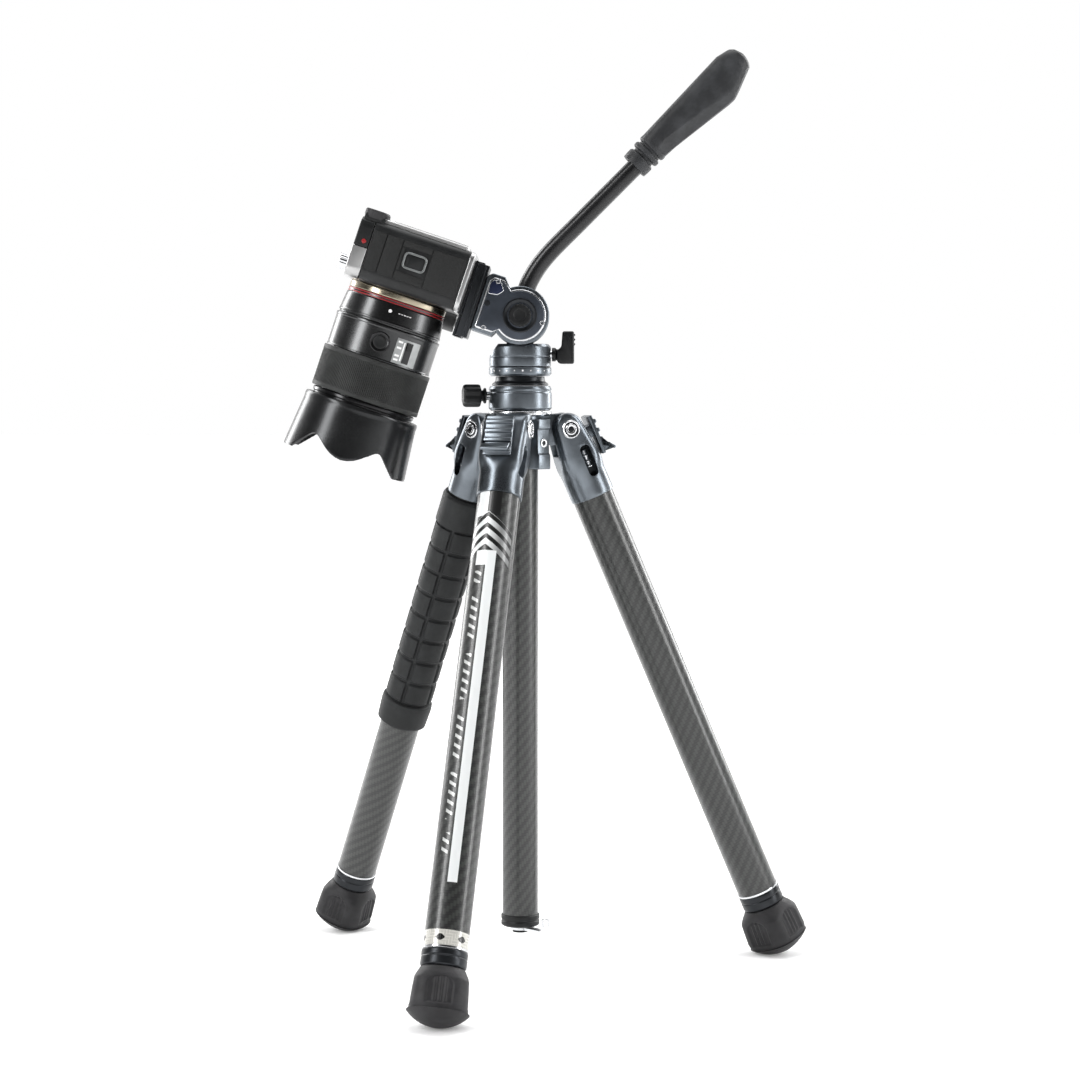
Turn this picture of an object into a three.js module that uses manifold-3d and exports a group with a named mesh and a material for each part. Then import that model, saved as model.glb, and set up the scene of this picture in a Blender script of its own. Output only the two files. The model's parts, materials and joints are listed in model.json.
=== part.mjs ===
// A compact video tripod with retracted carbon legs, a fluid head tipped down, and a small
// rangefinder-style camera with a hooded lens on its quick-release plate. Millimetres, +Z up.
// Every group below keeps its own local frame, and the whole stands with its feet at Z = 0.
import * as THREE from "three";
import { mergeVertices } from "three/addons/utils/BufferGeometryUtils.js";
import Module from "manifold-3d";

const wasm = await Module();
wasm.setup();

// ---------- driving dimensions ----------
// The column's axis in the part's frame, whose origin is the middle of the whole footprint.
const COLUMN_X = -18.8;
const COLUMN_Y = 23.1;

const LEG_AZIMUTH = { a: 134.6, b: -105.4, c: 14.6 };
const LEG_SPLAY = 23.5;
const PIVOT_RADIUS = 31;
const TUBE_RADIUS = 14;
const TUBE_WALL = 1;
const SHOULDER_RADIUS = 15;
const SHOULDER_END = -49;
const CHEEK_RADIUS = 12.5;
const LUG_HALF_WIDTH = 7;
const TUBE_END = -350;
const FOOT_TOP = -359.5;
const FOOT_RADIUS = 19;
// The foot's lower end is a ball, worn flat over its lowest part, where the foot stands.
const FOOT_BALL = 26;
const BALL_CENTRE = -369.7;
const FOOT_WEAR = 0.4;
const PIVOT_HEIGHT =
  FOOT_BALL - FOOT_WEAR - BALL_CENTRE * Math.cos(THREE.MathUtils.degToRad(LEG_SPLAY));

const COLUMN_RADIUS = 12;
const COLUMN_BOTTOM = 33;
const HUB_RADIUS = 14.6;
const HUB_BOTTOM = 338;
const COLLAR_RADIUS = 21.2;
const COLLAR_BOTTOM = 377.1;
const COLLAR_TOP = 393.5;

const TILT_HEIGHT = 440;
const TILT_DOWN = 71.5;
const CHEEK_OUTER = 20;
const TILT_RADIUS = 19.5;
const PLATFORM_TOP = 28.6;
const CLAMP_BACK = 25.5;
const CLAMP_FRONT = -26.5;
const CLAMP_KNOB_HEIGHT = 31.8;
const CAMERA_BASE = 38.9;

const BODY_BACK = 28.5;
const BODY_FRONT = -12;
const BODY_LEFT = -56;
const BODY_RIGHT = 68;
const BODY_TOP = 68;
const TOP_PLATE_TOP = 78;
const LENS_AXIS = 42.5;
const HANDLE_Y = 28;
const GAP = 0.3;

const FINE = 28;
const ROUND = 20;
const COARSE = 14;

// ---------- solids ----------
function solid(geometry) {
  const bare = geometry.clone();
  bare.deleteAttribute("normal");
  bare.deleteAttribute("uv");
  const merged = mergeVertices(bare, 1e-4);
  const corners = merged.index.array;
  const kept = [];
  for (let i = 0; i < corners.length; i += 3) {
    const [a, b, c] = [corners[i], corners[i + 1], corners[i + 2]];
    if (a !== b && b !== c && c !== a) kept.push(a, b, c);
  }
  return new wasm.Manifold(
    new wasm.Mesh({
      numProp: 3,
      vertProperties: merged.attributes.position.array,
      triVerts: new Uint32Array(kept),
    }),
  );
}

function geometryOf(body) {
  const mesh = body.getMesh();
  const stride = mesh.numProp;
  const points = new Float32Array(mesh.numVert * 3);
  for (let i = 0; i < mesh.numVert; i++) {
    points.set(mesh.vertProperties.subarray(i * stride, i * stride + 3), i * 3);
  }
  return new THREE.BufferGeometry()
    .setAttribute("position", new THREE.BufferAttribute(points, 3))
    .setIndex(new THREE.BufferAttribute(new Uint32Array(mesh.triVerts), 1));
}

const join = (...bodies) => bodies.reduce((whole, next) => whole.add(next));
const cut = (body, ...tools) => tools.reduce((rest, tool) => rest.subtract(tool), body);

// A block between two opposite corners.
function block(x0, x1, y0, y1, z0, z1) {
  const shape = new THREE.BoxGeometry(x1 - x0, y1 - y0, z1 - z0);
  return solid(shape.translate((x0 + x1) / 2, (y0 + y1) / 2, (z0 + z1) / 2));
}

// A straight round bar from z0 to z1 on the Z axis; rTop makes it a cone.
function barZ(radius, z0, z1, sides = ROUND, rTop = radius) {
  const shape = new THREE.CylinderGeometry(rTop, radius, z1 - z0, sides);
  return solid(shape.rotateX(Math.PI / 2).translate(0, 0, (z0 + z1) / 2));
}

// The same bar along Y or X, centred on the other two axes, then moved by (x, z) or (y, z).
function barY(radius, y0, y1, x = 0, z = 0, sides = ROUND) {
  const shape = new THREE.CylinderGeometry(radius, radius, y1 - y0, sides);
  return solid(shape.translate(x, (y0 + y1) / 2, z));
}

function barX(radius, x0, x1, y = 0, z = 0, sides = ROUND) {
  const shape = new THREE.CylinderGeometry(radius, radius, x1 - x0, sides);
  return solid(shape.rotateZ(Math.PI / 2).translate((x0 + x1) / 2, y, z));
}

// A turned piece on the Z axis. The profile is a list of [radius, height] that starts and ends on
// the axis, or comes back to its first point.
function turned(profile, sides = ROUND) {
  const points = profile.map(([r, z]) => new THREE.Vector2(r, z));
  const area = points.reduce((sum, p, i) => {
    const q = points[(i + 1) % points.length];
    return sum + p.x * q.y - q.x * p.y;
  }, 0);
  if (area < 0) points.reverse();
  return solid(new THREE.LatheGeometry(points, sides).rotateX(Math.PI / 2));
}

// A ring or sleeve as a turned piece.
function sleeve(outer, inner, z0, z1, sides = ROUND) {
  return turned([[inner, z0], [outer, z0], [outer, z1], [inner, z1], [inner, z0]], sides);
}

// An outline in X and Z, made into a plate that lies between two Y values.
function plateXZ(shape, y0, y1, bevel = 0, curveSegments = 10) {
  const made = new THREE.ExtrudeGeometry(shape, {
    depth: y1 - y0 - 2 * bevel,
    curveSegments,
    bevelEnabled: bevel > 0,
    bevelSize: bevel,
    bevelThickness: bevel,
    bevelOffset: -bevel,
    bevelSegments: 2,
  });
  return solid(made.rotateX(Math.PI / 2).translate(0, y1 - bevel, 0));
}

// An outline in X and Y, made into a plate between two heights.
function plateXY(shape, z0, z1, curveSegments = 8) {
  const made = new THREE.ExtrudeGeometry(shape, {
    depth: z1 - z0,
    curveSegments,
    bevelEnabled: false,
  });
  return solid(made.translate(0, 0, z0));
}

// A rounded rectangle as a shape.
function roundedRectangle(x0, x1, y0, y1, radius) {
  const shape = new THREE.Shape();
  shape.moveTo(x0 + radius, y0);
  shape.lineTo(x1 - radius, y0).absarc(x1 - radius, y0 + radius, radius, -Math.PI / 2, 0);
  shape.lineTo(x1, y1 - radius).absarc(x1 - radius, y1 - radius, radius, 0, Math.PI / 2);
  shape.lineTo(x0 + radius, y1).absarc(x0 + radius, y1 - radius, radius, Math.PI / 2, Math.PI);
  shape.lineTo(x0, y0 + radius).absarc(x0 + radius, y0 + radius, radius, Math.PI, 1.5 * Math.PI);
  return shape;
}

// ---------- materials ----------
const finish = (color, metalness, roughness) =>
  new THREE.MeshStandardMaterial({ color, metalness, roughness });
const GREY_METAL = finish(0x6d737a, 0.9, 0.38);
const BRIGHT_METAL = finish(0xc4c6c8, 1, 0.25);
const CARBON = finish(0x2c2c2a, 0.2, 0.4);
const ALLOY_TUBE = finish(0x55585b, 0.9, 0.4);
const RUBBER = finish(0x26272a, 0, 0.75);
const BLACK_METAL = finish(0x141517, 0.7, 0.4);
const BLACK_PLASTIC = finish(0x1b1c1e, 0, 0.5);
const SATIN_CHROME = finish(0xb9bab8, 0.9, 0.3);
const LEATHERETTE = finish(0x202124, 0, 0.65);
const LENS_BLACK = finish(0x17181a, 0.5, 0.3);
const GLASS = finish(0x27303c, 0, 0.05);
const SCREEN = finish(0x101216, 0, 0.15);

const degrees = THREE.MathUtils.degToRad;
const root = new THREE.Group();
const tripod = new THREE.Group();
tripod.position.set(COLUMN_X, COLUMN_Y, 0);
root.add(tripod);

function put(parent, name, body, material) {
  const mesh = new THREE.Mesh(geometryOf(body), material);
  mesh.name = name;
  parent.add(mesh);
  return mesh;
}

// ---------- legs ----------
// A leg's frame has its pivot at the origin, the leg running down -Z and +X facing outwards.
function shoulderBody() {
  const outline = new THREE.Shape();
  outline.moveTo(-CHEEK_RADIUS, 0);
  outline.lineTo(-SHOULDER_RADIUS, -20).lineTo(-SHOULDER_RADIUS, -28);
  outline.lineTo(SHOULDER_RADIUS, -28).lineTo(SHOULDER_RADIUS, -20).lineTo(CHEEK_RADIUS, 0);
  outline.absarc(0, 0, CHEEK_RADIUS, 0, Math.PI);
  const clevis = plateXZ(outline, -15.5, 15.5, 0, 8).intersect(barZ(18.2, -30, 20, ROUND));
  const barrel = turned(
    [[0, -26.5], [SHOULDER_RADIUS, -26.5], [SHOULDER_RADIUS, SHOULDER_END], [0, SHOULDER_END]],
    ROUND,
  );
  const lugSlot = block(-20, 20, -LUG_HALF_WIDTH - GAP, LUG_HALF_WIDTH + GAP, -15, 20);
  const window = plateXZ(roundedRectangle(0, 7.5, -36, -13, 3.7), -20, 20, 0, 3);
  const tubeSocket = barZ(TUBE_RADIUS + GAP, SHOULDER_END - 5, -38, ROUND);
  const boltHole = barY(4.3, -20, 20, 0, 0, 16);
  return cut(join(clevis, barrel), lugSlot, window, tubeSocket, boltHole);
}

function boltBody() {
  const shank = barY(4, -16.5, 16.5, 0, 0, 16);
  const heads = join(barY(6, 15.8, 17.4, 0, 0, 20), barY(6, -17.4, -15.8, 0, 0, 20));
  return cut(join(shank, heads), barY(2.4, -18, -15.6, 0, 0, 6));
}

// The catch hangs on the shoulder's outer face and swings out at its lower end.
function catchBody() {
  const plate = block(15.6, 18.4, -9.5, 9.5, -25, 3);
  const nose = block(12.6, 15.8, -6, 6, -12, -4);
  const ribs = [-2, -9, -16].map((z) => block(18, 19.8, -9.5, 9.5, z, z + 3));
  const lip = new THREE.Shape();
  lip.moveTo(18, -20).lineTo(23, -19).lineTo(26.5, -24);
  lip.lineTo(25, -25.5).lineTo(21.8, -22.6).lineTo(18, -23.5);
  return join(plate, nose, ...ribs, plateXZ(lip, -9.5, 9.5));
}

// The upper tube, with the black bush bonded in its lower end.
function upperTubeBody() {
  const r = TUBE_RADIUS;
  const profile = [[r - TUBE_WALL, -38.5], [r, -38.5], [r, TUBE_END], [13.4, TUBE_END]];
  profile.push([13.4, FOOT_TOP + GAP], [12.3, FOOT_TOP + GAP], [12.3, -340], [13, -340]);
  profile.push([r - TUBE_WALL, -38.5]);
  return turned(profile, ROUND);
}

function footBody() {
  const profile = [[0, -380], [10.9, -380], [10.9, FOOT_TOP], [13.6, FOOT_TOP]];
  profile.push([16.5, -362.5], [18.3, -368], [FOOT_RADIUS, -375]);
  for (const angle of [43, 35, 27, 19, 10]) {
    const a = degrees(angle);
    profile.push([FOOT_BALL * Math.sin(a), BALL_CENTRE - FOOT_BALL * Math.cos(a)]);
  }
  profile.push([0, BALL_CENTRE - FOOT_BALL]);
  const ground = block(90, 210, -40, 40, -PIVOT_HEIGHT - 20, -PIVOT_HEIGHT);
  return cut(turned(profile, ROUND), ground.rotate(0, LEG_SPLAY, 0));
}

function gripBody() {
  const profile = [[14.3, -50], [17.1, -50], [17.4, -52], [17.4, -70], [16.4, -72]];
  profile.push([16.4, -206], [17.9, -208], [17.9, -224], [17, -226], [14.3, -226], [14.3, -50]);
  return turned(profile, ROUND);
}

for (const [letter, azimuth] of Object.entries(LEG_AZIMUTH)) {
  const leg = new THREE.Group();
  const a = degrees(azimuth);
  leg.position.set(PIVOT_RADIUS * Math.cos(a), PIVOT_RADIUS * Math.sin(a), PIVOT_HEIGHT);
  leg.rotation.set(0, -degrees(LEG_SPLAY), a, "ZYX");
  tripod.add(leg);
  const name = (piece) => `leg_${letter}_${piece}`;
  put(leg, name("shoulder"), shoulderBody(), GREY_METAL);
  put(leg, name("pivot_bolt"), boltBody(), BRIGHT_METAL);
  put(leg, name("angle_catch"), catchBody(), GREY_METAL);
  put(leg, name("upper_tube"), upperTubeBody(), CARBON);
  put(leg, name("middle_tube"), sleeve(12, 11, -358.5, -62, COARSE), CARBON);
  put(leg, name("lower_tube"), sleeve(10.5, 9.5, -379.5, -75, COARSE), ALLOY_TUBE);
  put(leg, name("foot"), footBody(), RUBBER);
  if (letter === "a") put(leg, "leg_a_grip_sleeve", gripBody(), RUBBER);
}

// ---------- hub, column and its clamp ----------
function hubBody() {
  let body = barZ(HUB_RADIUS, HUB_BOTTOM, 373, FINE);
  body = body.add(barZ(20, 373, 376.8, FINE));
  for (const azimuth of Object.values(LEG_AZIMUTH)) {
    const lug = join(
      block(0, PIVOT_RADIUS, -LUG_HALF_WIDTH, LUG_HALF_WIDTH, PIVOT_HEIGHT - 10.4, 374),
      barY(10.8, -LUG_HALF_WIDTH, LUG_HALF_WIDTH, PIVOT_RADIUS, PIVOT_HEIGHT, COARSE),
    );
    const bored = cut(lug, barY(4.3, -20, 20, PIVOT_RADIUS, PIVOT_HEIGHT, 16));
    const pad = cut(
      block(0, 23.5, -5, 5, HUB_BOTTOM, 371.5),
      barX(2.6, 15, 30, 0, 354, 12),
    );
    body = body.add(bored.rotate(0, 0, azimuth)).add(pad.rotate(0, 0, azimuth - 60));
  }
  return cut(body, barZ(COLUMN_RADIUS + GAP, 300, 400, FINE));
}

function collarBody() {
  const bore = COLUMN_RADIUS + GAP;
  const profile = [[bore, COLLAR_BOTTOM], [COLLAR_RADIUS, COLLAR_BOTTOM]];
  profile.push([COLLAR_RADIUS, COLLAR_TOP - 2], [19.4, COLLAR_TOP], [bore, COLLAR_TOP]);
  profile.push([bore, COLLAR_BOTTOM]);
  return cut(turned(profile, FINE), barX(3.4, 15, 30, 0, 387, 16));
}

// A clamping knob: a ribbed head on a screw, along +X from its seat.
function knobBody(seat, start, end, radius, screwRadius) {
  const head = barX(radius, start, end, 0, 0, COARSE);
  const grooves = [];
  for (let i = 0; i < 6; i++) {
    grooves.push(barX(1.6, start - 1, end + 1, radius + 0.4, 0, 8).rotate(i * 60, 0, 0));
  }
  return join(cut(head, ...grooves), barX(screwRadius, seat, start + 1, 0, 0, 16));
}

put(tripod, "spider_hub", hubBody(), GREY_METAL);
const collarGroup = new THREE.Group();
collarGroup.rotation.z = degrees(190);
tripod.add(collarGroup);
put(collarGroup, "column_collar", collarBody(), GREY_METAL);
const columnKnob = put(
  collarGroup,
  "column_lock_knob",
  knobBody(16, 26.5, 39, 7.6, 3),
  BLACK_PLASTIC,
);
columnKnob.position.z = 387;

put(
  tripod,
  "centre_column",
  sleeve(COLUMN_RADIUS, COLUMN_RADIUS - 1.2, COLUMN_BOTTOM, COLLAR_TOP, ROUND),
  CARBON,
);
// The cap plugs the column's lower end, and the hook turns on its headed stub.
function columnCapBody() {
  const profile = [[0, 24.4], [5.4, 24.4], [5.4, 25.6], [3.2, 25.6], [3.2, 28.8], [13, 28.8]];
  profile.push([13, COLUMN_BOTTOM - GAP], [10.4, COLUMN_BOTTOM - GAP], [10.4, 42], [0, 42]);
  return turned(profile, ROUND);
}
function hookBody() {
  const eye = sleeve(6.4, 3.6, 26.1, 28.3, COARSE);
  const outline = new THREE.Shape();
  outline.moveTo(5, 26.1).lineTo(22.8, 26.1).lineTo(25.2, 28).lineTo(25.2, 36.4);
  outline.lineTo(22.9, 36.4).lineTo(22.9, 29).lineTo(22.2, 28.3).lineTo(5, 28.3);
  return eye.add(plateXZ(outline, -3, 3));
}
const capGroup = new THREE.Group();
capGroup.rotation.z = degrees(-45.4);
tripod.add(capGroup);
put(capGroup, "column_end_cap", columnCapBody(), BLACK_PLASTIC);
put(capGroup, "weight_hook", hookBody(), BRIGHT_METAL);

// ---------- fluid head ----------
function neckBody() {
  const z = COLLAR_TOP + GAP;
  return turned([[0, z], [19, z], [18.6, z + 1.5], [16.4, z + 4.5], [16.4, z + 6], [0, z + 6]], FINE);
}

function panRingBody() {
  const profile = [[0, 400.1], [19.6, 400.1], [21, 401.6], [21, 406], [0, 406]];
  return turned(profile, FINE);
}

// The base turns on the pan ring, and its central drum carries the tilt axle.
function headBaseBody() {
  const flanks = new THREE.Shape();
  flanks.moveTo(-20.6, 406.3).lineTo(20.6, 406.3).lineTo(20.6, 419.5).lineTo(18, 421.5);
  flanks.lineTo(-14.2, 421.5).lineTo(-20.2, 414.2);
  const saddle = barY(TILT_RADIUS + 0.5, -30, 30, 0, TILT_HEIGHT, FINE);
  const base = barZ(20.6, 406.3, 421.5, FINE).intersect(plateXZ(flanks, -30, 30));
  const neck = block(-9, 9, -8.5, 8.5, 412, TILT_HEIGHT - 8);
  const drum = barY(16.5, -8.5, 8.5, 0, TILT_HEIGHT, ROUND);
  const knobSeat = barX(3.4, 12, 30, 0, 414.5, 16);
  const axle = barY(5.3, -20, 20, 0, TILT_HEIGHT, COARSE);
  return cut(join(cut(base, saddle), neck, drum), knobSeat, axle);
}

// A wing knob with a flat paddle, on a screw along +X.
function wingKnobBody() {
  const paddle = new THREE.Shape();
  paddle.moveTo(25.5, -6).lineTo(36, -6).lineTo(36, 15.5).lineTo(28.5, 15.5).lineTo(27, 4);
  paddle.lineTo(24.4, 0);
  return join(plateXZ(paddle, -5.2, 5.2, 1), barX(3, 13, 26, 0, 0, 16));
}

function tiltOutline(inset) {
  const r = TILT_RADIUS - inset;
  const top = PLATFORM_TOP - inset;
  const shape = new THREE.Shape();
  const from = degrees(142);
  const to = degrees(38);
  shape.moveTo(r * Math.cos(from), r * Math.sin(from));
  shape.absarc(0, 0, r, from, to + 2 * Math.PI);
  shape.lineTo(21 - inset, 17).lineTo(21 - inset, top - 3).lineTo(18 - inset, top);
  shape.lineTo(-19 + inset, top).lineTo(-19 + inset, 14);
  return shape;
}

// Two cheeks round the drum, joined by the bridge under the platform.
function tiltBodyBody() {
  const whole = plateXZ(tiltOutline(0), -CHEEK_OUTER, CHEEK_OUTER, 0, 12);
  const drumRoom = join(
    barY(17.3, -8.8, 8.8, 0, 0, FINE),
    block(-17.3, 17.3, -8.8, 8.8, -30, 0),
    block(-24, 24, -8.8, 8.8, -30, 8),
  );
  return cut(whole, drumRoom, barY(5.3, -30, 30, 0, 0, COARSE));
}

function clampBody() {
  const base = block(CLAMP_FRONT + 1, CLAMP_BACK - 1, -21, 21, PLATFORM_TOP + GAP, 32.2);
  const jaw = (side) => {
    const shape = new THREE.Shape();
    shape.moveTo(side * 21, 32.2).lineTo(side * 21, 37).lineTo(side * 15.2, 37);
    shape.lineTo(side * 18, 34.6).lineTo(side * 18, 32.2);
    const made = new THREE.ExtrudeGeometry(shape, { depth: 50, bevelEnabled: false });
    return solid(made.rotateX(Math.PI / 2).rotateZ(Math.PI / 2).translate(CLAMP_FRONT + 1, 0, 0));
  };
  const boss = block(-5, 5, 20.5, 24.2, PLATFORM_TOP + GAP, 36);
  const knobHole = barY(2.3, 19, 30, 0, CLAMP_KNOB_HEIGHT, COARSE);
  return cut(join(base, jaw(1), jaw(-1), boss), knobHole);
}

// The plate's dovetail slides between the jaws, and its pad carries the camera.
function releasePlateBody() {
  const shape = new THREE.Shape();
  shape.moveTo(-17.4, 32.5).lineTo(17.4, 32.5).lineTo(17.4, 34.4).lineTo(14.6, 36.8);
  shape.lineTo(14.6, 37.3).lineTo(19.5, 37.3).lineTo(19.5, CAMERA_BASE - GAP);
  shape.lineTo(-19.5, CAMERA_BASE - GAP).lineTo(-19.5, 37.3).lineTo(-14.6, 37.3);
  shape.lineTo(-14.6, 36.8).lineTo(-17.4, 34.4);
  const depth = CLAMP_BACK - CLAMP_FRONT;
  const made = new THREE.ExtrudeGeometry(shape, { depth, bevelEnabled: false });
  const body = solid(made.rotateX(Math.PI / 2).rotateZ(Math.PI / 2).translate(CLAMP_FRONT, 0, 0));
  return cut(body, barZ(7.3, 30, 35.2, COARSE), barZ(3.4, 30, 45, 16));
}

put(tripod, "head_neck", neckBody(), BLACK_METAL);
put(tripod, "pan_ring", panRingBody(), GREY_METAL);
put(tripod, "head_base", headBaseBody(), GREY_METAL);
const panKnob = put(tripod, "pan_lock_knob", wingKnobBody(), BLACK_PLASTIC);
panKnob.position.z = 414.5;

// The tilt frame turns with the head: level, the lens looks along -X and up is +Z.
const tilt = new THREE.Group();
tilt.position.z = TILT_HEIGHT;
tilt.rotation.y = -degrees(TILT_DOWN);
tripod.add(tilt);
put(tilt, "tilt_body", tiltBodyBody(), GREY_METAL);
put(tilt, "tilt_axle", barY(5, -19.8, 33, 0, 0, COARSE), BRIGHT_METAL);
put(
  tilt,
  "tilt_side_cover",
  cut(
    plateXZ(tiltOutline(4.6), -CHEEK_OUTER - 2.4, -CHEEK_OUTER - GAP, 0.6, 10),
    barY(8.2, -25, -15, 0, 0, COARSE),
  ),
  BLACK_METAL,
);
put(tilt, "tilt_lock_dial", barY(7.6, -24, -CHEEK_OUTER - GAP, 0, 0, COARSE), BLACK_PLASTIC);
put(tilt, "plate_clamp", clampBody(), BLACK_METAL);
function clampKnobBody() {
  return knobBody(19.6, 24.6, 34, 6.2, 1.9).rotate(0, 0, 90);
}
put(tilt, "clamp_knob", clampKnobBody(), BLACK_PLASTIC).position.z = CLAMP_KNOB_HEIGHT;

// ---------- pan handle ----------
// The handle's frame sits on the tilt axis and is square to the floor at rest.
const handle = new THREE.Group();
handle.rotation.y = degrees(TILT_DOWN);
tilt.add(handle);
const tubePath = new THREE.CatmullRomCurve3(
  [[0, 5.5], [2.2, 13], [6.8, 25.8], [18.1, 42.1], [42.2, 66.5], [63, 87.3], [87, 111.3]].map(
    ([x, z]) => new THREE.Vector3(x, HANDLE_Y, z),
  ),
);
function handleTubeBody() {
  const section = new THREE.Shape().absarc(0, 0, 6, 0, 2 * Math.PI);
  return solid(
    new THREE.ExtrudeGeometry(section, {
      extrudePath: tubePath,
      steps: 16,
      curveSegments: 5,
      bevelEnabled: false,
    }),
  );
}
function handleHubBody() {
  const boss = barY(11, CHEEK_OUTER + GAP, 35, 0, 0, ROUND);
  const socket = barZ(6.5, 4.8, 20, COARSE).rotate(0, 16, 0).translate(-1.2, HANDLE_Y, 0.6);
  const stem = barZ(7.6, 4, 15, COARSE).rotate(0, 16, 0).translate(-1.2, HANDLE_Y, 0.6);
  const axleHole = barY(5.3, 10, 33.5, 0, 0, COARSE);
  return cut(boss.add(stem), axleHole, socket);
}
// The grip is widest near its end, with a stepped collar where the tube goes in.
function gripHandleBody() {
  const outline = new THREE.Shape();
  outline.moveTo(0, -9).lineTo(11.6, -9.7).lineTo(58, -15.6);
  outline.quadraticCurveTo(63, -16, 67, -14.5).lineTo(85, -7.5);
  outline.quadraticCurveTo(88, -5.5, 88, 0).lineTo(88, 6);
  outline.quadraticCurveTo(88, 10, 84, 11.2).lineTo(74, 13.5).lineTo(0, 11.2);
  const paddle = plateXZ(outline, -10.5, 10.5, 4, 4);
  const rings = join(
    barX(9.4, -17, -11.5, 0, 0.8, COARSE),
    barX(8.4, -12, -9, 0, 0.8, COARSE),
    barX(10.4, -9.5, -5.5, 0, 0.8, COARSE),
    barX(9.2, -6, -3, 0, 0.8, COARSE),
    barX(10.6, -3.5, 2, 0, 0.8, COARSE),
  );
  return cut(join(paddle, rings), barX(6.3, -20, 30, 0, 0, COARSE));
}
put(handle, "handle_hub", handleHubBody(), BLACK_METAL);
put(handle, "handle_tube", handleTubeBody(), BLACK_METAL);
const gripGroup = new THREE.Group();
gripGroup.position.set(79, HANDLE_Y, 103.3);
gripGroup.rotation.y = -degrees(45);
handle.add(gripGroup);
const handleGrip = put(gripGroup, "handle_grip", gripHandleBody(), RUBBER);
handleGrip.position.x = 15;

// ---------- camera body ----------
// The camera's frame: its base at Z = 0, the lens looking along -X, its left end towards -Y.
const camera = new THREE.Group();
camera.position.z = CAMERA_BASE;
tilt.add(camera);

function bodyOutline(inset = 0) {
  const front = BODY_FRONT + inset;
  const back = BODY_BACK - inset;
  const left = BODY_LEFT + inset;
  const right = BODY_RIGHT - inset;
  const shape = new THREE.Shape();
  shape.moveTo(back - 6, left).absarc(back - 6, left + 6, 6, -Math.PI / 2, 0);
  shape.lineTo(back, right - 8).absarc(back - 8, right - 8, 8, 0, Math.PI / 2);
  shape.lineTo(front - 2, right).absarc(front - 2, right - 10, 10, Math.PI / 2, Math.PI);
  shape.lineTo(front - 12, right - 19).quadraticCurveTo(front - 11, right - 26, front, right - 30);
  shape.lineTo(front, left + 7).absarc(front + 7, left + 7, 7, Math.PI, 1.5 * Math.PI);
  return shape;
}

function cameraBodyBody() {
  const shell = plateXY(bodyOutline(), 3.3, BODY_TOP - GAP, 5);
  const doorPocket = block(2, 17, BODY_LEFT - 1, BODY_LEFT + 2.6, 28, 44);
  const screwHole = barZ(3.5, 0, 12, 16);
  const screenPocket = block(BODY_BACK - 2, BODY_BACK + 5, -27, 48, 6, 60);
  return cut(shell, doorPocket, screwHole, screenPocket);
}

function topPlateBody() {
  const plate = plateXY(bodyOutline(), BODY_TOP, TOP_PLATE_TOP, 5);
  const finderCorner = block(-BODY_FRONT - 3.7, 40, -70, -27, 60, 90);
  const buttonHole = barZ(4.9, 70, 90, COARSE).translate(-12, 52, 0);
  return cut(plate, finderCorner, buttonHole);
}

// The finder fills the plate's rear left corner, with its eyecup standing out behind.
function finderBody() {
  const corner = plateXY(bodyOutline(0.2), BODY_TOP, TOP_PLATE_TOP - 0.4, 5);
  const housing = corner.intersect(block(8.6, 40, -70, -27.3, 60, 90));
  const cup = plateXY(roundedRectangle(27, 34.2, -54, -30, 2), 61.5, 77.2, 4);
  const behind = block(BODY_BACK + GAP, 40, -70, 0, 50, 90);
  const flange = block(26, BODY_BACK + 2, -53, -31, 70, 76);
  return join(housing, cup.intersect(behind), flange);
}

put(camera, "camera_base_plate", cut(plateXY(bodyOutline(0.2), 0, 3, 5), barZ(3.5, -1, 4, 16)), SATIN_CHROME);
put(camera, "camera_body", cameraBodyBody(), LEATHERETTE);
put(camera, "camera_top_plate", topPlateBody(), SATIN_CHROME);
put(camera, "viewfinder", finderBody(), BLACK_PLASTIC);
put(
  camera,
  "rear_screen",
  block(BODY_BACK - 1.6, BODY_BACK + 2.4, -26.5, 47.5, 6.5, 59.5),
  SCREEN,
);
put(camera, "port_door", block(2.4, 16.6, BODY_LEFT - 0.6, BODY_LEFT + 2.2, 28.4, 43.6), RUBBER);
put(camera, "left_dial", barZ(6, TOP_PLATE_TOP + GAP, 84.6, COARSE).translate(-3.4, -38, 0), SATIN_CHROME);
put(camera, "mode_dial", barZ(9.5, TOP_PLATE_TOP + GAP, 84, COARSE).translate(4, 30, 0), SATIN_CHROME);
put(camera, "shutter_button", barZ(4.6, 72, 80.2, COARSE).translate(-12, 52, 0), SATIN_CHROME);
function plateScrewBody() {
  return join(barZ(7, 33, 34.8, COARSE), barZ(3.1, 34, 49.5, 16));
}
put(tilt, "camera_screw", plateScrewBody(), BRIGHT_METAL);
put(tilt, "release_plate", releasePlateBody(), BLACK_METAL);

// ---------- lens ----------
// The lens frame runs along +Z from the body's front face.
const lens = new THREE.Group();
lens.position.set(BODY_FRONT, 0, LENS_AXIS);
lens.rotation.y = -Math.PI / 2;
camera.add(lens);

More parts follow.
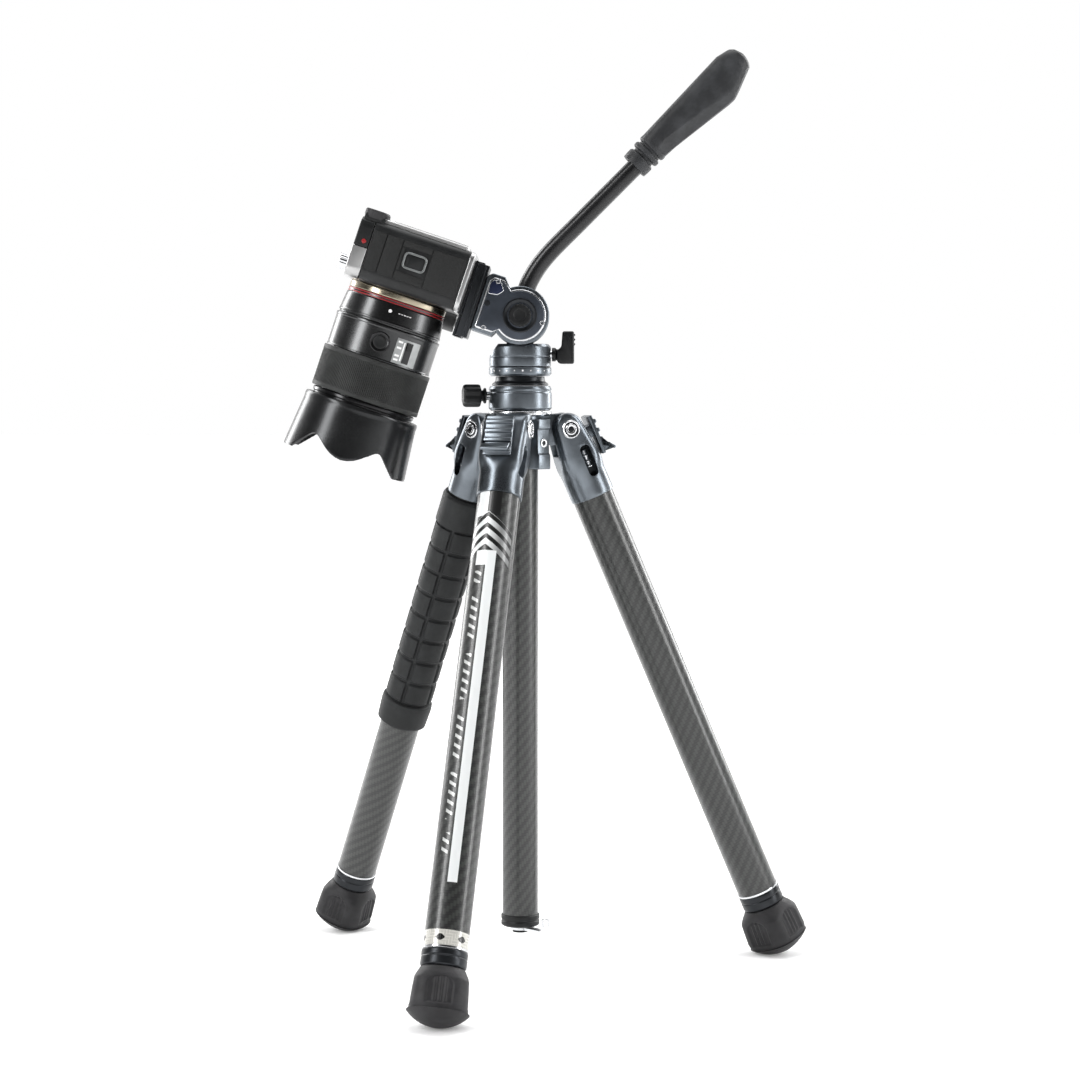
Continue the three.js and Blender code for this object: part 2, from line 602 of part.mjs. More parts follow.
function rearBarrelBody() {
  const profile = [[0, GAP], [33.3, GAP], [33.3, 6], [33.8, 7], [35.2, 20], [35.2, 22.3], [0, 22.3]];
  return turned(profile, FINE);
}
function midBarrelBody() {
  const barrel = turned([[0, 22.6], [35.3, 22.6], [36, 25], [36, 45.6], [31, 45.6], [31, 75], [0, 75]], FINE);
  const rotated = (shape, angle) => shape.rotate(0, 0, angle);
  const buttonHole = rotated(barX(5, 32, 40, 0, 34, COARSE), -90);
  const switchSlot = rotated(block(34.2, 40, -4, 4, 28, 42), -122);
  return cut(barrel, buttonHole, switchSlot);
}
function frontBarrelBody() {
  const profile = [[31.3, 74.8], [34.4, 74.8], [34.4, 84.2], [30.6, 84.2], [30.6, 75.3], [31.3, 75.3]];
  profile.push([31.3, 74.8]);
  return turned(profile, FINE);
}
function frontGlassBody() {
  return turned([[0, 75.6], [30.2, 75.6], [30.2, 77.5], [22, 80.4], [12, 82], [0, 82.6]], FINE);
}

// The hood flares forward. Four arcs cut between its petals: two deep notches on each side.
function hoodBody() {
  const wall = 1.6;
  const shell = turned(
    [[34.8, 79], [38.6, 79], [42.6, 118], [42.6 - wall, 118], [37.2, 84.5], [34.8, 84.5], [34.8, 79]],
    FINE,
  );
  // The front edge: two long tips, above and below the lens, and a rounded petal on each side.
  const edge = new THREE.Shape();
  edge.moveTo(34.6, 118.5).lineTo(25.4, 106.8);
  edge.quadraticCurveTo(22.2, 103, 18.4, 106).lineTo(10.2, 112.2);
  edge.quadraticCurveTo(5.4, 115.8, 0, 115.8);
  edge.quadraticCurveTo(-5.4, 115.8, -10.2, 112.2).lineTo(-18.4, 106);
  edge.quadraticCurveTo(-22.2, 103, -25.4, 106.8).lineTo(-34.6, 118.5);
  return cut(shell, plateXZ(edge, -50, 50, 0, 5));
}
put(lens, "lens_rear_barrel", rearBarrelBody(), LENS_BLACK);
put(lens, "lens_mid_barrel", midBarrelBody(), LENS_BLACK);
put(lens, "focus_ring", sleeve(37, 31.3, 46, 74.4, FINE), RUBBER);
put(lens, "lens_front_barrel", frontBarrelBody(), LENS_BLACK);
put(lens, "front_glass", frontGlassBody(), GLASS);
put(lens, "lens_hood", hoodBody(), LENS_BLACK);
const holdButton = new THREE.Group();
holdButton.rotation.z = -degrees(90);
lens.add(holdButton);
put(holdButton, "focus_hold_button", barX(4.6, 32.6, 36.6, 0, 34, COARSE), BLACK_PLASTIC);
const switchGroup = new THREE.Group();
switchGroup.rotation.z = -degrees(122);
lens.add(switchGroup);
put(switchGroup, "focus_mode_switch", block(34.6, 37.2, -2, 2, 29, 34), BLACK_PLASTIC);

export default root;
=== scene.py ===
import json
import math

import bpy
import mathutils
import numpy as np
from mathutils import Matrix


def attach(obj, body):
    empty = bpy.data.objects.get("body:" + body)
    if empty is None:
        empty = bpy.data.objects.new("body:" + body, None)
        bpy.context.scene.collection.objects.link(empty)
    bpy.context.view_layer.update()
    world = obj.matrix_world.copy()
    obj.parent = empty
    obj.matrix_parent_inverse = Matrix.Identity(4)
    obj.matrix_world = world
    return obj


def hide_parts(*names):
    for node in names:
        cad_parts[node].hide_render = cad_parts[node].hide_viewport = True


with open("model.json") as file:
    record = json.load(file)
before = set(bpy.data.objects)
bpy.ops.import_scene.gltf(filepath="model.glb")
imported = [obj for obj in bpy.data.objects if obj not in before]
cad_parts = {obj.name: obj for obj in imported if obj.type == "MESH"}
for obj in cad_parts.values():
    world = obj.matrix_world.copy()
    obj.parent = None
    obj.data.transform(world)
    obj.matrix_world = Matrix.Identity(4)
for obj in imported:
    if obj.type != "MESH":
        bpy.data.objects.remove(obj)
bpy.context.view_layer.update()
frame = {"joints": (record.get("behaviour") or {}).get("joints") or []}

joint = {j["name"]: j for j in frame["joints"]}

# ----------------------------------------
# The hub. One casting in blue-grey anodised alloy: a sleeve round the column, a lug for each leg
# and a squared accessory pad between each two legs. A bright turned plate closes its top.


class Place:
    """A local frame in millimetres: a point of the object, and three axes at right angles."""

    def __init__(self, origin, x, z):
        z = np.asarray(z, float) / np.linalg.norm(z)
        y = np.cross(z, x)
        y /= np.linalg.norm(y)
        self.origin = np.asarray(origin, float)
        self.axes = np.array([np.cross(y, z), y, z])

    def __call__(self, points):
        return self.origin + np.asarray(points, float) @ self.axes / 1000

    def at(self, x=0.0, y=0.0, z=0.0, turn=0.0):
        """The same frame, moved in its own directions and turned about its Z axis, in degrees."""
        a = math.radians(turn)
        heading = self.axes[0] * math.cos(a) + self.axes[1] * math.sin(a)
        return Place(self((x, y, z)), heading, self.axes[2])


def eased(corners, radius, closed=False, steps=4):
    """A line with each corner replaced by the quadratic curve from `radius` before it to `radius`
    after it, or 0.45 of the side where the side is shorter than that."""
    p = np.asarray(corners, float)
    back = np.roll(p, 1, 0) - p
    ahead = np.roll(p, -1, 0) - p
    back_length = np.maximum(np.linalg.norm(back, axis=1, keepdims=True), 1e-9)
    ahead_length = np.maximum(np.linalg.norm(ahead, axis=1, keepdims=True), 1e-9)
    start = p + back / back_length * np.minimum(radius, 0.45 * back_length)
    end = p + ahead / ahead_length * np.minimum(radius, 0.45 * ahead_length)
    t = np.linspace(0, 1, steps + 1)[None, :, None]
    curve = (1 - t) ** 2 * start[:, None] + 2 * t * (1 - t) * p[:, None] + t**2 * end[:, None]
    if closed:
        return curve.reshape(-1, p.shape[1])
    return np.concatenate([p[:1], curve[1:-1].reshape(-1, p.shape[1]), p[-1:]])


def lofted(rings, wrap=False, u=None, v=None):
    """Rings of equally many points, joined in order by four-sided faces, with a flat face over
    each open end. wrap joins the last ring to the first instead. The UV map is (u, v), where u
    runs once round each ring and v from ring to ring."""
    rings = np.asarray(rings, float)
    count, sides = rings.shape[:2]
    u = np.linspace(0, 1, sides + 1) if u is None else np.asarray(u, float)
    v = np.linspace(0, 1, count + 1) if v is None else np.asarray(v, float)
    k = np.arange(count if wrap else count - 1)[:, None]
    j = np.arange(sides)[None, :]
    corner = ((0, 0), (0, 1), (1, 1), (1, 0))
    quads = np.stack([((k + dk) % count) * sides + (j + dj) % sides for dk, dj in corner], -1)
    uv = np.stack([np.stack(np.broadcast_arrays(u[j + dj], v[k + dk]), -1) for dk, dj in corner], 2)
    faces, maps = [quads.reshape(-1, 4)], [uv.reshape(-1, 2)]
    if not wrap:
        around = np.arange(sides)
        for order, first, height in ((around[::-1], 0, v[0]), (around, count - 1, v[count - 1])):
            faces.append((first * sides + order)[None, :])
            maps.append(np.stack([u[order], np.full(sides, height)], 1))
    return [(rings.reshape(-1, 3), faces, maps)]


def whole(count):
    """Equally spaced turns round a whole circle, in radians."""
    return np.arange(count) * 2 * math.pi / count


def arc(x, y, radius, turns):
    """Points at the given turns of a circle about (x, y)."""
    return np.stack([x + radius * np.cos(turns), y + radius * np.sin(turns)], 1)


def round_rings(radius, turns, height):
    """Rings about the Z axis: the point at each turn has a radius and a height."""
    flat = radius * np.cos(turns), radius * np.sin(turns)
    return np.stack(np.broadcast_arrays(*flat, height), -1)


def squared(turns, power):
    """cos and sin of each turn, their sizes raised to a power and their signs kept. A power
    below 1 makes the circle squarer."""
    c, s = np.cos(turns), np.sin(turns)
    return np.sign(c) * np.abs(c) ** power, np.sign(s) * np.abs(s) ** power


def turned(profile, sides=96):
    """A profile of [radius, height] carried round the Z axis. Where it comes back to its first
    point it makes a ring, and else its ends are closed flat. u is the turn, v the length so far
    along the profile in millimetres."""
    p = np.asarray(profile, float)
    closed = np.allclose(p[0], p[-1])
    p = p[:-1] if closed else p[p[:, 0] > 1e-6]
    rings = round_rings(p[:, :1], whole(sides), p[:, 1:])
    step = np.linalg.norm(np.diff(p, axis=0, append=p[:1]), axis=1)
    return lofted(rings, closed, v=np.concatenate([[0], np.cumsum(step)]))


def inset(outline, distance):
    """A closed outline of [x, y] moved inwards by a distance along the bisector at each point."""
    p = np.asarray(outline, float)
    along = np.roll(p, -1, 0) - p
    along /= np.maximum(np.linalg.norm(along, axis=1, keepdims=True), 1e-9)
    left = np.stack([-along[:, 1], along[:, 0]], 1)
    before = np.roll(left, 1, 0)
    miter = (left + before) / np.maximum(1 + (left * before).sum(1, keepdims=True), 0.35)
    area = (p[:, 0] * np.roll(p[:, 1], -1) - np.roll(p[:, 0], -1) * p[:, 1]).sum()
    return p + miter * distance * np.sign(area)


def slab(outline, low, high, rim=0.5, steps=3):
    """An outline of [x, y] carried from z = low to high. Its rims are quarter circles: at angle a
    the outline is inset by rim (1 - sin a) and the height is rim (1 - cos a) from the face."""
    a = np.linspace(0, math.pi / 2, steps + 1)
    levels = [(rim * (1 - math.sin(t)), low + rim * (1 - math.cos(t))) for t in a]
    levels += [(rim * (1 - math.sin(t)), high - rim * (1 - math.cos(t))) for t in a[::-1]]
    return lofted([np.insert(inset(outline, d), 2, h, axis=1) for d, h in levels])


def box(x0, x1, y0, y1, z0, z1, rim=0.4, corner=0.6):
    """A block between two corners, its upright edges and its rims rounded."""
    outline = eased([[x0, y0], [x1, y0], [x1, y1], [x0, y1]], corner, closed=True, steps=3)
    return slab(outline, z0, z1, rim)


def upright(shape):
    """The shape with its Y and Z swapped, so that an outline of [x, z] is carried along Y."""
    return [(points[:, [0, 2, 1]], faces, maps) for points, faces, maps in shape]


def sideways(shape):
    """The shape with its Z axis laid along X: (x, y, z) becomes (z, x, y)."""
    return [(points[:, [2, 0, 1]], faces, maps) for points, faces, maps in shape]


def shifted(shape, x=0.0, y=0.0, z=0.0, turn=0.0):
    """The shape turned about Z by an angle in degrees, then moved."""
    a = math.radians(turn)
    spin = np.array([[math.cos(a), math.sin(a), 0], [-math.sin(a), math.cos(a), 0], [0, 0, 1]])
    return [(points @ spin + (x, y, z), faces, maps) for points, faces, maps in shape]


def round_bar(radius, low, high, rim=0.4, sides=48):
    """A round bar on the Z axis with rounded rims."""
    return turned(eased([[0, low], [radius, low], [radius, high], [0, high]], rim), sides)


def hoop(inner, outer, low, high, rim, sides=48):
    """A ring of rectangular section with rounded edges, but for a sharp one low on its inside."""
    line = [[inner, low], [outer, low], [outer, high], [inner, high], [inner, low]]
    return turned(eased(line, rim), sides)


def made(name, shape, place, paint, sharp=32.0):
    """A mesh object from closed shells, each with its faces turned outwards by the sign of its
    volume: the sum of (a x b) . c over its triangles. Edges sharper than `sharp` stay sharp."""
    points, loops, sizes, maps, start = [], [], [], [], 0
    for local, faces, uvs in shape:
        p = place(local)
        q = p - p.mean(0)
        fans = [(q[f][:, :1], q[f][:, 1:-1], q[f][:, 2:]) for f in faces]
        inside_out = sum((a * np.cross(b, c)).sum() for a, b, c in fans) < 0
        for f, uv in zip(faces, uvs):
            uv = uv.reshape(*f.shape, 2)
            if inside_out:
                f, uv = f[:, ::-1], uv[:, ::-1]
            loops.append((f + start).ravel())
            maps.append(uv.reshape(-1, 2))
            sizes.append(np.full(len(f), f.shape[1]))
        points.append(p)
        start += len(p)
    points, loops, sizes = np.concatenate(points), np.concatenate(loops), np.concatenate(sizes)
    mesh = bpy.data.meshes.new(name)
    mesh.vertices.add(len(points))
    mesh.vertices.foreach_set("co", points.astype(np.float32).ravel())
    mesh.loops.add(len(loops))
    mesh.loops.foreach_set("vertex_index", loops.astype(np.int32))
    mesh.polygons.add(len(sizes))
    mesh.polygons.foreach_set("loop_start", (np.cumsum(sizes) - sizes).astype(np.int32))
    mesh.update(calc_edges=True)
    layer = mesh.uv_layers.new(name="UVMap")
    layer.data.foreach_set("uv", np.concatenate(maps).astype(np.float32).ravel())
    mesh.validate()
    piece = bpy.data.objects.new(name, mesh)
    bpy.context.scene.collection.objects.link(piece)
    mesh.materials.append(paint)
    return smoothed(piece, sharp)


def smoothed(piece, sharp=32.0):
    """Smooth shading, with edges sharper than an angle in degrees kept sharp."""
    piece.data.polygons.foreach_set("use_smooth", np.ones(len(piece.data.polygons), bool))
    piece.data.set_sharp_from_angle(angle=math.radians(sharp))
    return piece


def settled(mesh, place):
    """The mesh with its points, in metres of a local frame, put into the part's frame."""
    points = np.empty(len(mesh.vertices) * 3, np.float32)
    mesh.vertices.foreach_get("co", points)
    moved = place(points.reshape(-1, 3) * 1000)
    mesh.vertices.foreach_set("co", moved.astype(np.float32).ravel())
    return mesh


def fitted(piece, body, slot, *stands_for):
    """The piece rides on a body, and may stand for CAD nodes, which are hidden. The slot is not used.
    """
    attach(piece, body)
    if stands_for:
        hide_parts(*stands_for)
    return piece


def part(name, shape, place, paint, body, slot, *stands_for, sharp=32.0):
    """A mesh object made from shells and fitted in one step."""
    return fitted(made(name, shape, place, paint, sharp), body, slot, *stands_for)


class Wire:
    """One value inside a material: the socket that gives it. Operators add Math nodes."""

    def __init__(self, tree, socket=None):
        self.tree = tree
        self.socket = socket

    def node(self, kind, settings=None, output=0, **values):
        """A new node of that kind, as the Wire of one output, chosen by index or identifier.
        Settings are set first. Each value goes to the socket with that identifier or name, where
        an underscore may stand for a space."""
        node = self.tree.nodes.new(kind)
        for key, value in (settings or {}).items():
            if key == "stops":
                ramp = node.color_ramp.elements
                while len(ramp) < len(value):
                    ramp.new(0.5)
                for stop, (place, colour) in zip(ramp, value):
                    stop.position = place
                    stop.color = colour
            else:
                setattr(node, key, value)
        for key, value in values.items():
            found = [s for s in node.inputs if s.identifier == key]
            found = found or [s for s in node.inputs if s.name == key.replace("_", " ")]
            if isinstance(value, Wire):
                self.tree.links.new(value.socket, found[0])
            else:
                found[0].default_value = value
        found = [s for s in node.outputs if s.identifier == output]
        return Wire(self.tree, found[0] if found else node.outputs[output])

    def math(self, operation, other=0.0, third=0.0):
        settings = {"operation": operation}
        return self.node("ShaderNodeMath", settings, Value=self, Value_001=other, Value_002=third)

    def __add__(self, other):
        return self.math("ADD", other)

    def __sub__(self, other):
        return self.math("SUBTRACT", other)

    def __mul__(self, other):
        return self.math("MULTIPLY", other)

    def __truediv__(self, other):
        return self.math("DIVIDE", other)

    def __rsub__(self, other):
        return (self * -1.0) + other

    def __gt__(self, other):
        return self.math("GREATER_THAN", other)

    def __lt__(self, other):
        return self.math("LESS_THAN", other)

    __radd__ = __add__
    __rmul__ = __mul__

    def between(self, low, high):
        """1 where the value lies between two limits, and 0 elsewhere."""
        return (self > low) * (self < high)

    def fade(self, low, high, out_low=0.0, out_high=1.0):
        """The value mapped smoothly from low..high to out_low..out_high."""
        settings = {"interpolation_type": "SMOOTHSTEP"}
        limits = {"From_Min": low, "From_Max": high, "To_Min": out_low, "To_Max": out_high}
        return self.node("ShaderNodeMapRange", settings, Value=self, **limits)

    def mix(self, low, high):
        """The colour low where this value is 0 and high where it is 1."""
        colours = {"Factor_Float": self, "A_Color": low, "B_Color": high}
        return self.node("ShaderNodeMix", {"data_type": "RGBA"}, "Result_Color", **colours)

    def noise(self, scale, detail=2.0, roughness=0.5):
        """Noise over this vector."""
        values = {"Vector": self, "Scale": scale, "Detail": detail, "Roughness": roughness}
        return self.node("ShaderNodeTexNoise", **values)

    def scaled(self, x, y, z):
        """This vector stretched along its axes."""
        return self.node("ShaderNodeMapping", Vector=self, Scale=(x, y, z))

    def parts(self):
        """The three parts of this vector."""
        split = self.node("ShaderNodeSeparateXYZ", Vector=self)
        return [Wire(self.tree, out) for out in split.socket.node.outputs]

    def bump(self, strength, distance):
        """The normal of a surface that this value raises, in metres of distance."""
        values = {"Height": self, "Strength": strength, "Distance": distance}
        return self.node("ShaderNodeBump", **values)


def rgb(*values):
    """An opaque colour."""
    return (*values, 1.0)


def paint(name, build, **constants):
    """A material whose Principled shader takes constants, and what build(where, uv) varies."""
    material = bpy.data.materials.new(name)
    material.use_nodes = True
    tree = material.node_tree
    shader = tree.nodes["Principled BSDF"]
    coordinates = Wire(tree).node("ShaderNodeTexCoord").socket.node.outputs
    where, uv = Wire(tree, coordinates["Object"]), Wire(tree, coordinates["UV"])
    for key, value in {**constants, **build(where, uv)}.items():
        socket = shader.inputs[key.replace("_", " ")]
        if isinstance(value, Wire):
            tree.links.new(value.socket, socket)
        else:
            socket.default_value = value
    return material


def satin(name, colour, metallic=0.9, roughness=0.36, grain=0.35, spread=0.25):
    """Blasted and anodised alloy: a fine even grain, and slow clouds of tone."""

    def build(where, uv):
        cloud = where.noise(45.0, 3.0)
        grit = where.noise(2600.0, 2.0, 0.7)
        dark = rgb(*[c * (1 - spread) for c in colour])
        light = rgb(*[min(c * (1 + spread), 1.0) for c in colour])
        return {
            "Base_Color": cloud.fade(0.3, 0.7).mix(dark, light),
            "Metallic": metallic,
            "Roughness": cloud * 0.1 + grit * 0.12 + (roughness - 0.11),
            "Normal": grit.bump(grain, 0.00004),
        }

    return paint(name, build)


ANODISED = satin("anodised alloy", (0.14, 0.157, 0.175), 0.92, 0.3)
DARK_ALLOY = satin("black anodised alloy", (0.022, 0.024, 0.027), 0.75, 0.34)


def machined(name, colour, roughness=0.22, rings=1500.0):
    """Bright turned metal: fine tool lines at slightly different heights."""

    def build(where, uv):
        lines = where.scaled(1.0, 1.0, rings).noise(1.0, 2.0, 0.6)
        smear = where.noise(120.0, 3.0)
        dark = rgb(*[c * 0.78 for c in colour])
        return {
            "Base_Color": smear.fade(0.35, 0.7).mix(dark, rgb(*colour)),
            "Metallic": 1.0,
            "Roughness": lines * 0.14 + smear * 0.1 + (roughness - 0.1),
            "Normal": lines.bump(0.3, 0.00003),
        }

    return paint(name, build)


BRIGHT = machined("bright turned steel", (0.74, 0.75, 0.77))

LEGS = "abc"
column_axis = Place([*joint["pan"]["pos_m"][:2], 0], (1, 0, 0), (0, 0, 1))


def leg_place(letter):
    """A leg's frame: the pivot at the origin, the leg down -Z, and +X outwards."""
    splay, slide = joint[f"leg_{letter}_splay"], joint[f"leg_{letter}_middle_slide"]
    outwards = np.cross(splay["axis"], slide["axis"])
    return Place(splay["pos_m"], outwards, -np.asarray(slide["axis"]))


leg_frames = {letter: leg_place(letter) for letter in LEGS}
leg_heading = {k: math.degrees(math.atan2(*p.axes[0][1::-1])) for k, p in leg_frames.items()}

HUB_RADIUS, HUB_LOW, HUB_TOP = 14.6, 338.0, 373.2
CROWN_RADIUS, CROWN_TOP = 21.2, 376.9
LUG_HALF, LUG_ROUND, PIVOT_OUT, PIVOT_UP = 7.0, 10.8, 31.0, 364.6
sleeve_line = [[12.3, HUB_LOW], [13.9, HUB_LOW], [HUB_RADIUS, HUB_LOW + 1], [HUB_RADIUS, HUB_TOP]]
hub_shape = turned(sleeve_line + [[12.3, HUB_TOP], [12.3, HUB_LOW]])
lug_end = arc(PIVOT_OUT, PIVOT_UP, LUG_ROUND, np.linspace(-math.pi / 2, math.pi / 2, 24))
lug_outline = np.concatenate([lug_end, [[8, 374], [8, PIVOT_UP - LUG_ROUND]]])
lug = upright(slab(lug_outline, -LUG_HALF, LUG_HALF, 0.8))
# The pad: a squared block with a broad step near its top and a shallow line below the hole.
pad_outline = [[8, 371.3], [23.5, 371.3], [23.5, 365.2], [22.3, 364.4], [22.3, 348.6]]
pad_outline += [[23.5, 347.6], [23.5, 338], [8, 338]]
pad = upright(slab(eased(pad_outline, 0.7, True, 2), -5.6, 5.6, 0.7))
hole_ring = sideways(hoop(1.5, 2.9, 0, 0.9, 0.25, 32))
# Painted shade: a dark disc inside each bright rim stands for the shade in the threaded hole.
hole_shade_disc = sideways(round_bar(1.6, 0, 0.55, 0.1, 24))
PAD_FACE, HOLE_UP = 22.1, 355.5
rings_shape, holes_shape = [], []
for letter in LEGS:
    hub_shape += shifted(lug, turn=leg_heading[letter])
    pad_turn = leg_heading[letter] - 60
    hub_shape += shifted(pad, turn=pad_turn)
    rings_shape += shifted(shifted(hole_ring, PAD_FACE, 0, HOLE_UP), turn=pad_turn)
    holes_shape += shifted(shifted(hole_shade_disc, PAD_FACE, 0, HOLE_UP), turn=pad_turn)
part("hub_casting", hub_shape, column_axis, ANODISED, "tripod", "alloy_grey", "spider_hub")
part("hub_hole_rims", rings_shape, column_axis, BRIGHT, "tripod", "bright_steel")
part("hub_hole_shade_discs", holes_shape, column_axis, DARK_ALLOY, "tripod", "black_alloy")
plate_line = [[12.4, HUB_TOP + 0.1], [20, HUB_TOP + 0.1], [CROWN_RADIUS, 374.4]]
plate_line += [[CROWN_RADIUS, CROWN_TOP - 0.5], [20.6, CROWN_TOP], [12.4, CROWN_TOP]]
plate_line += [[12.4, HUB_TOP + 0.1]]
part("hub_top_plate", turned(eased(plate_line, 0.3)), column_axis, BRIGHT, "tripod", "bright_steel")

# ----------------------------------------
# The leg shoulders. Each is a satin alloy casting: a clevis with a round head that straddles the
# hub's lug, an oblong window through both cheeks, and a round socket bonded over the leg tube.


def shoulder_rings():
    """Rings up the casting. Each is a superellipse (|x/a|^n + |y/b|^n = 1): a circle at the
    socket, squarer towards the head, where a follows the head's own circle."""
    z = np.concatenate(
        [[-49, -48.8, -48], np.linspace(-46, -1, 26), np.linspace(0, 1, 16) ** 0.6 * 10.9]
    )
    rise = np.clip((z + 34) / 16, 0, 1)
    rise = rise * rise * (3 - 2 * rise)
    a = np.where(z < 0, 15 - 4.0 * np.clip((z + 26) / 26, 0, 1), np.sqrt(np.maximum(11.0**2 - z**2, 2)))
    a[:2] -= [0.5, 0.15]
    b = 15 + 0.5 * rise - np.where(z > 6, (z - 6) ** 2 * 0.03, 0)
    b[:2] -= [0.5, 0.15]
    n = 2 + 2.4 * rise
    c, s = squared(whole(96), 2 / n[:, None])
    return np.stack(np.broadcast_arrays(a[:, None] * c, b[:, None] * s, z[:, None]), -1)


def carved(piece, cutters, bevel):
    """The piece less each cutter by a boolean, its new edges bevelled, all applied."""
    for cutter in cutters:
        cut = piece.modifiers.new("cut", "BOOLEAN")
        cut.operation, cut.solver, cut.object = "DIFFERENCE", "MANIFOLD", cutter
    edge = piece.modifiers.new("edge", "BEVEL")
    edge.width, edge.segments, edge.limit_method = bevel, 2, "ANGLE"
    edge.angle_limit = math.radians(38)
    bpy.context.view_layer.update()
    ready = piece.evaluated_get(bpy.context.evaluated_depsgraph_get())
    mesh = bpy.data.meshes.new_from_object(ready)
    piece.modifiers.clear()
    piece.data = mesh
    for cutter in cutters:
        bpy.data.objects.remove(cutter)
    return smoothed(piece)


window_outline = eased([[0.2, -35.5], [7.4, -35.5], [7.4, -13.5], [0.2, -13.5]], 3.6, True, 8)
slot_cut = box(-30, 30, -LUG_HALF - 0.3, LUG_HALF + 0.3, -15, 30, 0.2, 0.2)
window_cut = upright(slab(window_outline, -30, 30, 0.1))
origin = Place((0, 0, 0), (1, 0, 0), (0, 0, 1))
cutters = [made("cut", shape, origin, ANODISED) for shape in (slot_cut, window_cut)]
casting = carved(made("casting", lofted(shoulder_rings()), origin, ANODISED), cutters, 0.0006)
spring_line = [[2.4, 0], [2.4, 1], [1.5, 1.4], [1.5, 3], [2.2, 3.6], [2.2, 4.4], [1.5, 5]]
spring_line += [[1.5, 7], [2.2, 7.6], [2.2, 8.4], [1.5, 9], [1.5, 12], [0, 12]]
plunger = turned(eased([[0, 0]] + spring_line, 0.3), 32)
for letter in LEGS:
    place = leg_frames[letter]
    mesh = settled(casting.data.copy(), place)
    shoulder = bpy.data.objects.new(f"leg_{letter}_casting", mesh)
    bpy.context.scene.collection.objects.link(shoulder)
    fitted(smoothed(shoulder), f"leg_{letter}", "alloy_grey", f"leg_{letter}_shoulder")
    rods = shifted(plunger, 3.6, 9.6, -29) + shifted(plunger, 3.6, -9.6, -29)
    part(f"leg_{letter}_plungers", rods, place, BRIGHT, f"leg_{letter}", "bright_steel")
    # Painted shade: a dark block fills the middle of the window and stands for the shade seen through
    # it.
    part(
        f"leg_{letter}_window_shade_block", box(-1, 9, -6.6, 6.6, -37.5, -15.4), place, DARK_ALLOY, f"leg_{letter}",
        "alloy_grey"
    )
bpy.data.objects.remove(casting)

# ----------------------------------------
# The pivot bolts. A bright pan-head screw with a hexagon recess and a washer on each side of the
# shoulder, turned from steel.
BOLT_HEAD, WASHER = 3.9, 6.2


def bolt_side(side):
    """A dished washer and a ring head with a hexagon recess, stacked outwards from the cheek."""
    washer = [[4.8, 0], [WASHER, 0], [WASHER, 0.8], [5.6, 1.3], [4.8, 1.0], [4.8, 0]]
    head = [[1.9, 0], [BOLT_HEAD, 0], [BOLT_HEAD, 1.3], [3.3, 1.8], [1.9, 1.6], [1.9, 0]]
    both = turned(eased(washer, 0.2), 64) + turned(eased(head, 0.2), 64)
    return [(p[:, [0, 2, 1]] * (1, side, 1) + (0, side * 15.4, 0), f, m) for p, f, m in both]


for letter in LEGS:
    place = leg_frames[letter]
    part(
        f"leg_{letter}_bolt", bolt_side(1) + bolt_side(-1), place, BRIGHT, "tripod", "bright_steel",
        f"leg_{letter}_pivot_bolt"
    )
    core = upright(slab(arc(0, 0, 2.0, whole(6)), -16.4, 16.4, 0.2))
    core += upright(slab(arc(0, 0, 4.9, whole(48)), -15.8, 15.8, 0.1))
    part(f"leg_{letter}_bolt_core", core, place, DARK_ALLOY, "tripod", "black_alloy")

# ----------------------------------------
# The angle catches. Each is a milled alloy latch on the shoulder's outer face, with a pack of
# ribs for the thumb and a hooked lip at its lower end, and it swings on a pin near its top.
CATCH_HALF = 9.4
catch_outline = [[15.7, 2], [18.6, 2.2], [18.6, 0.4]]
for rib in range(3):
    top = -0.8 - 6.4 * rib
    catch_outline += [[18.7, top], [20.2, top - 0.4], [20.2, top - 2.6], [18.7, top - 3.2]]
catch_outline += [[18.7, -19.6], [22.6, -18.9], [26.2, -23.4], [25.2, -25], [21.9, -22.4]]
catch_outline += [[18.2, -23.6], [18.2, -25], [15.7, -25]]
catch_shape = upright(slab(eased(catch_outline, 0.5, True, 3), -CATCH_HALF, CATCH_HALF, 0.6))
catch_shape += box(12.6, 15.9, -6, 6, -12, -4)
for letter in LEGS:
    part(
        f"leg_{letter}_catch_plate", catch_shape, leg_frames[letter], ANODISED, f"leg_{letter}_catch",
        "alloy_grey", f"leg_{letter}_angle_catch"
    )

# ----------------------------------------
# The leg tubes. Three rolled carbon-fibre tubes to a leg, one inside the other, lacquered over a
# 2/2 twill. A bright ring and a black locking collar close the outer one, bonded on.
TUBE_RADIUS, TUBE_TOP, RING_TOP, COLLAR_TOP, TUBE_LOW = 14.0, -45.5, -347.2, -348.6, -359.2
PRINT_TOP, CHEVRON_TOP, CHEVRON_LOW, STRIPE_LOW = -49.0, -63.0, -90.0, -308.0
BAND_TOP, BAND_LOW = -337.5, -347.2


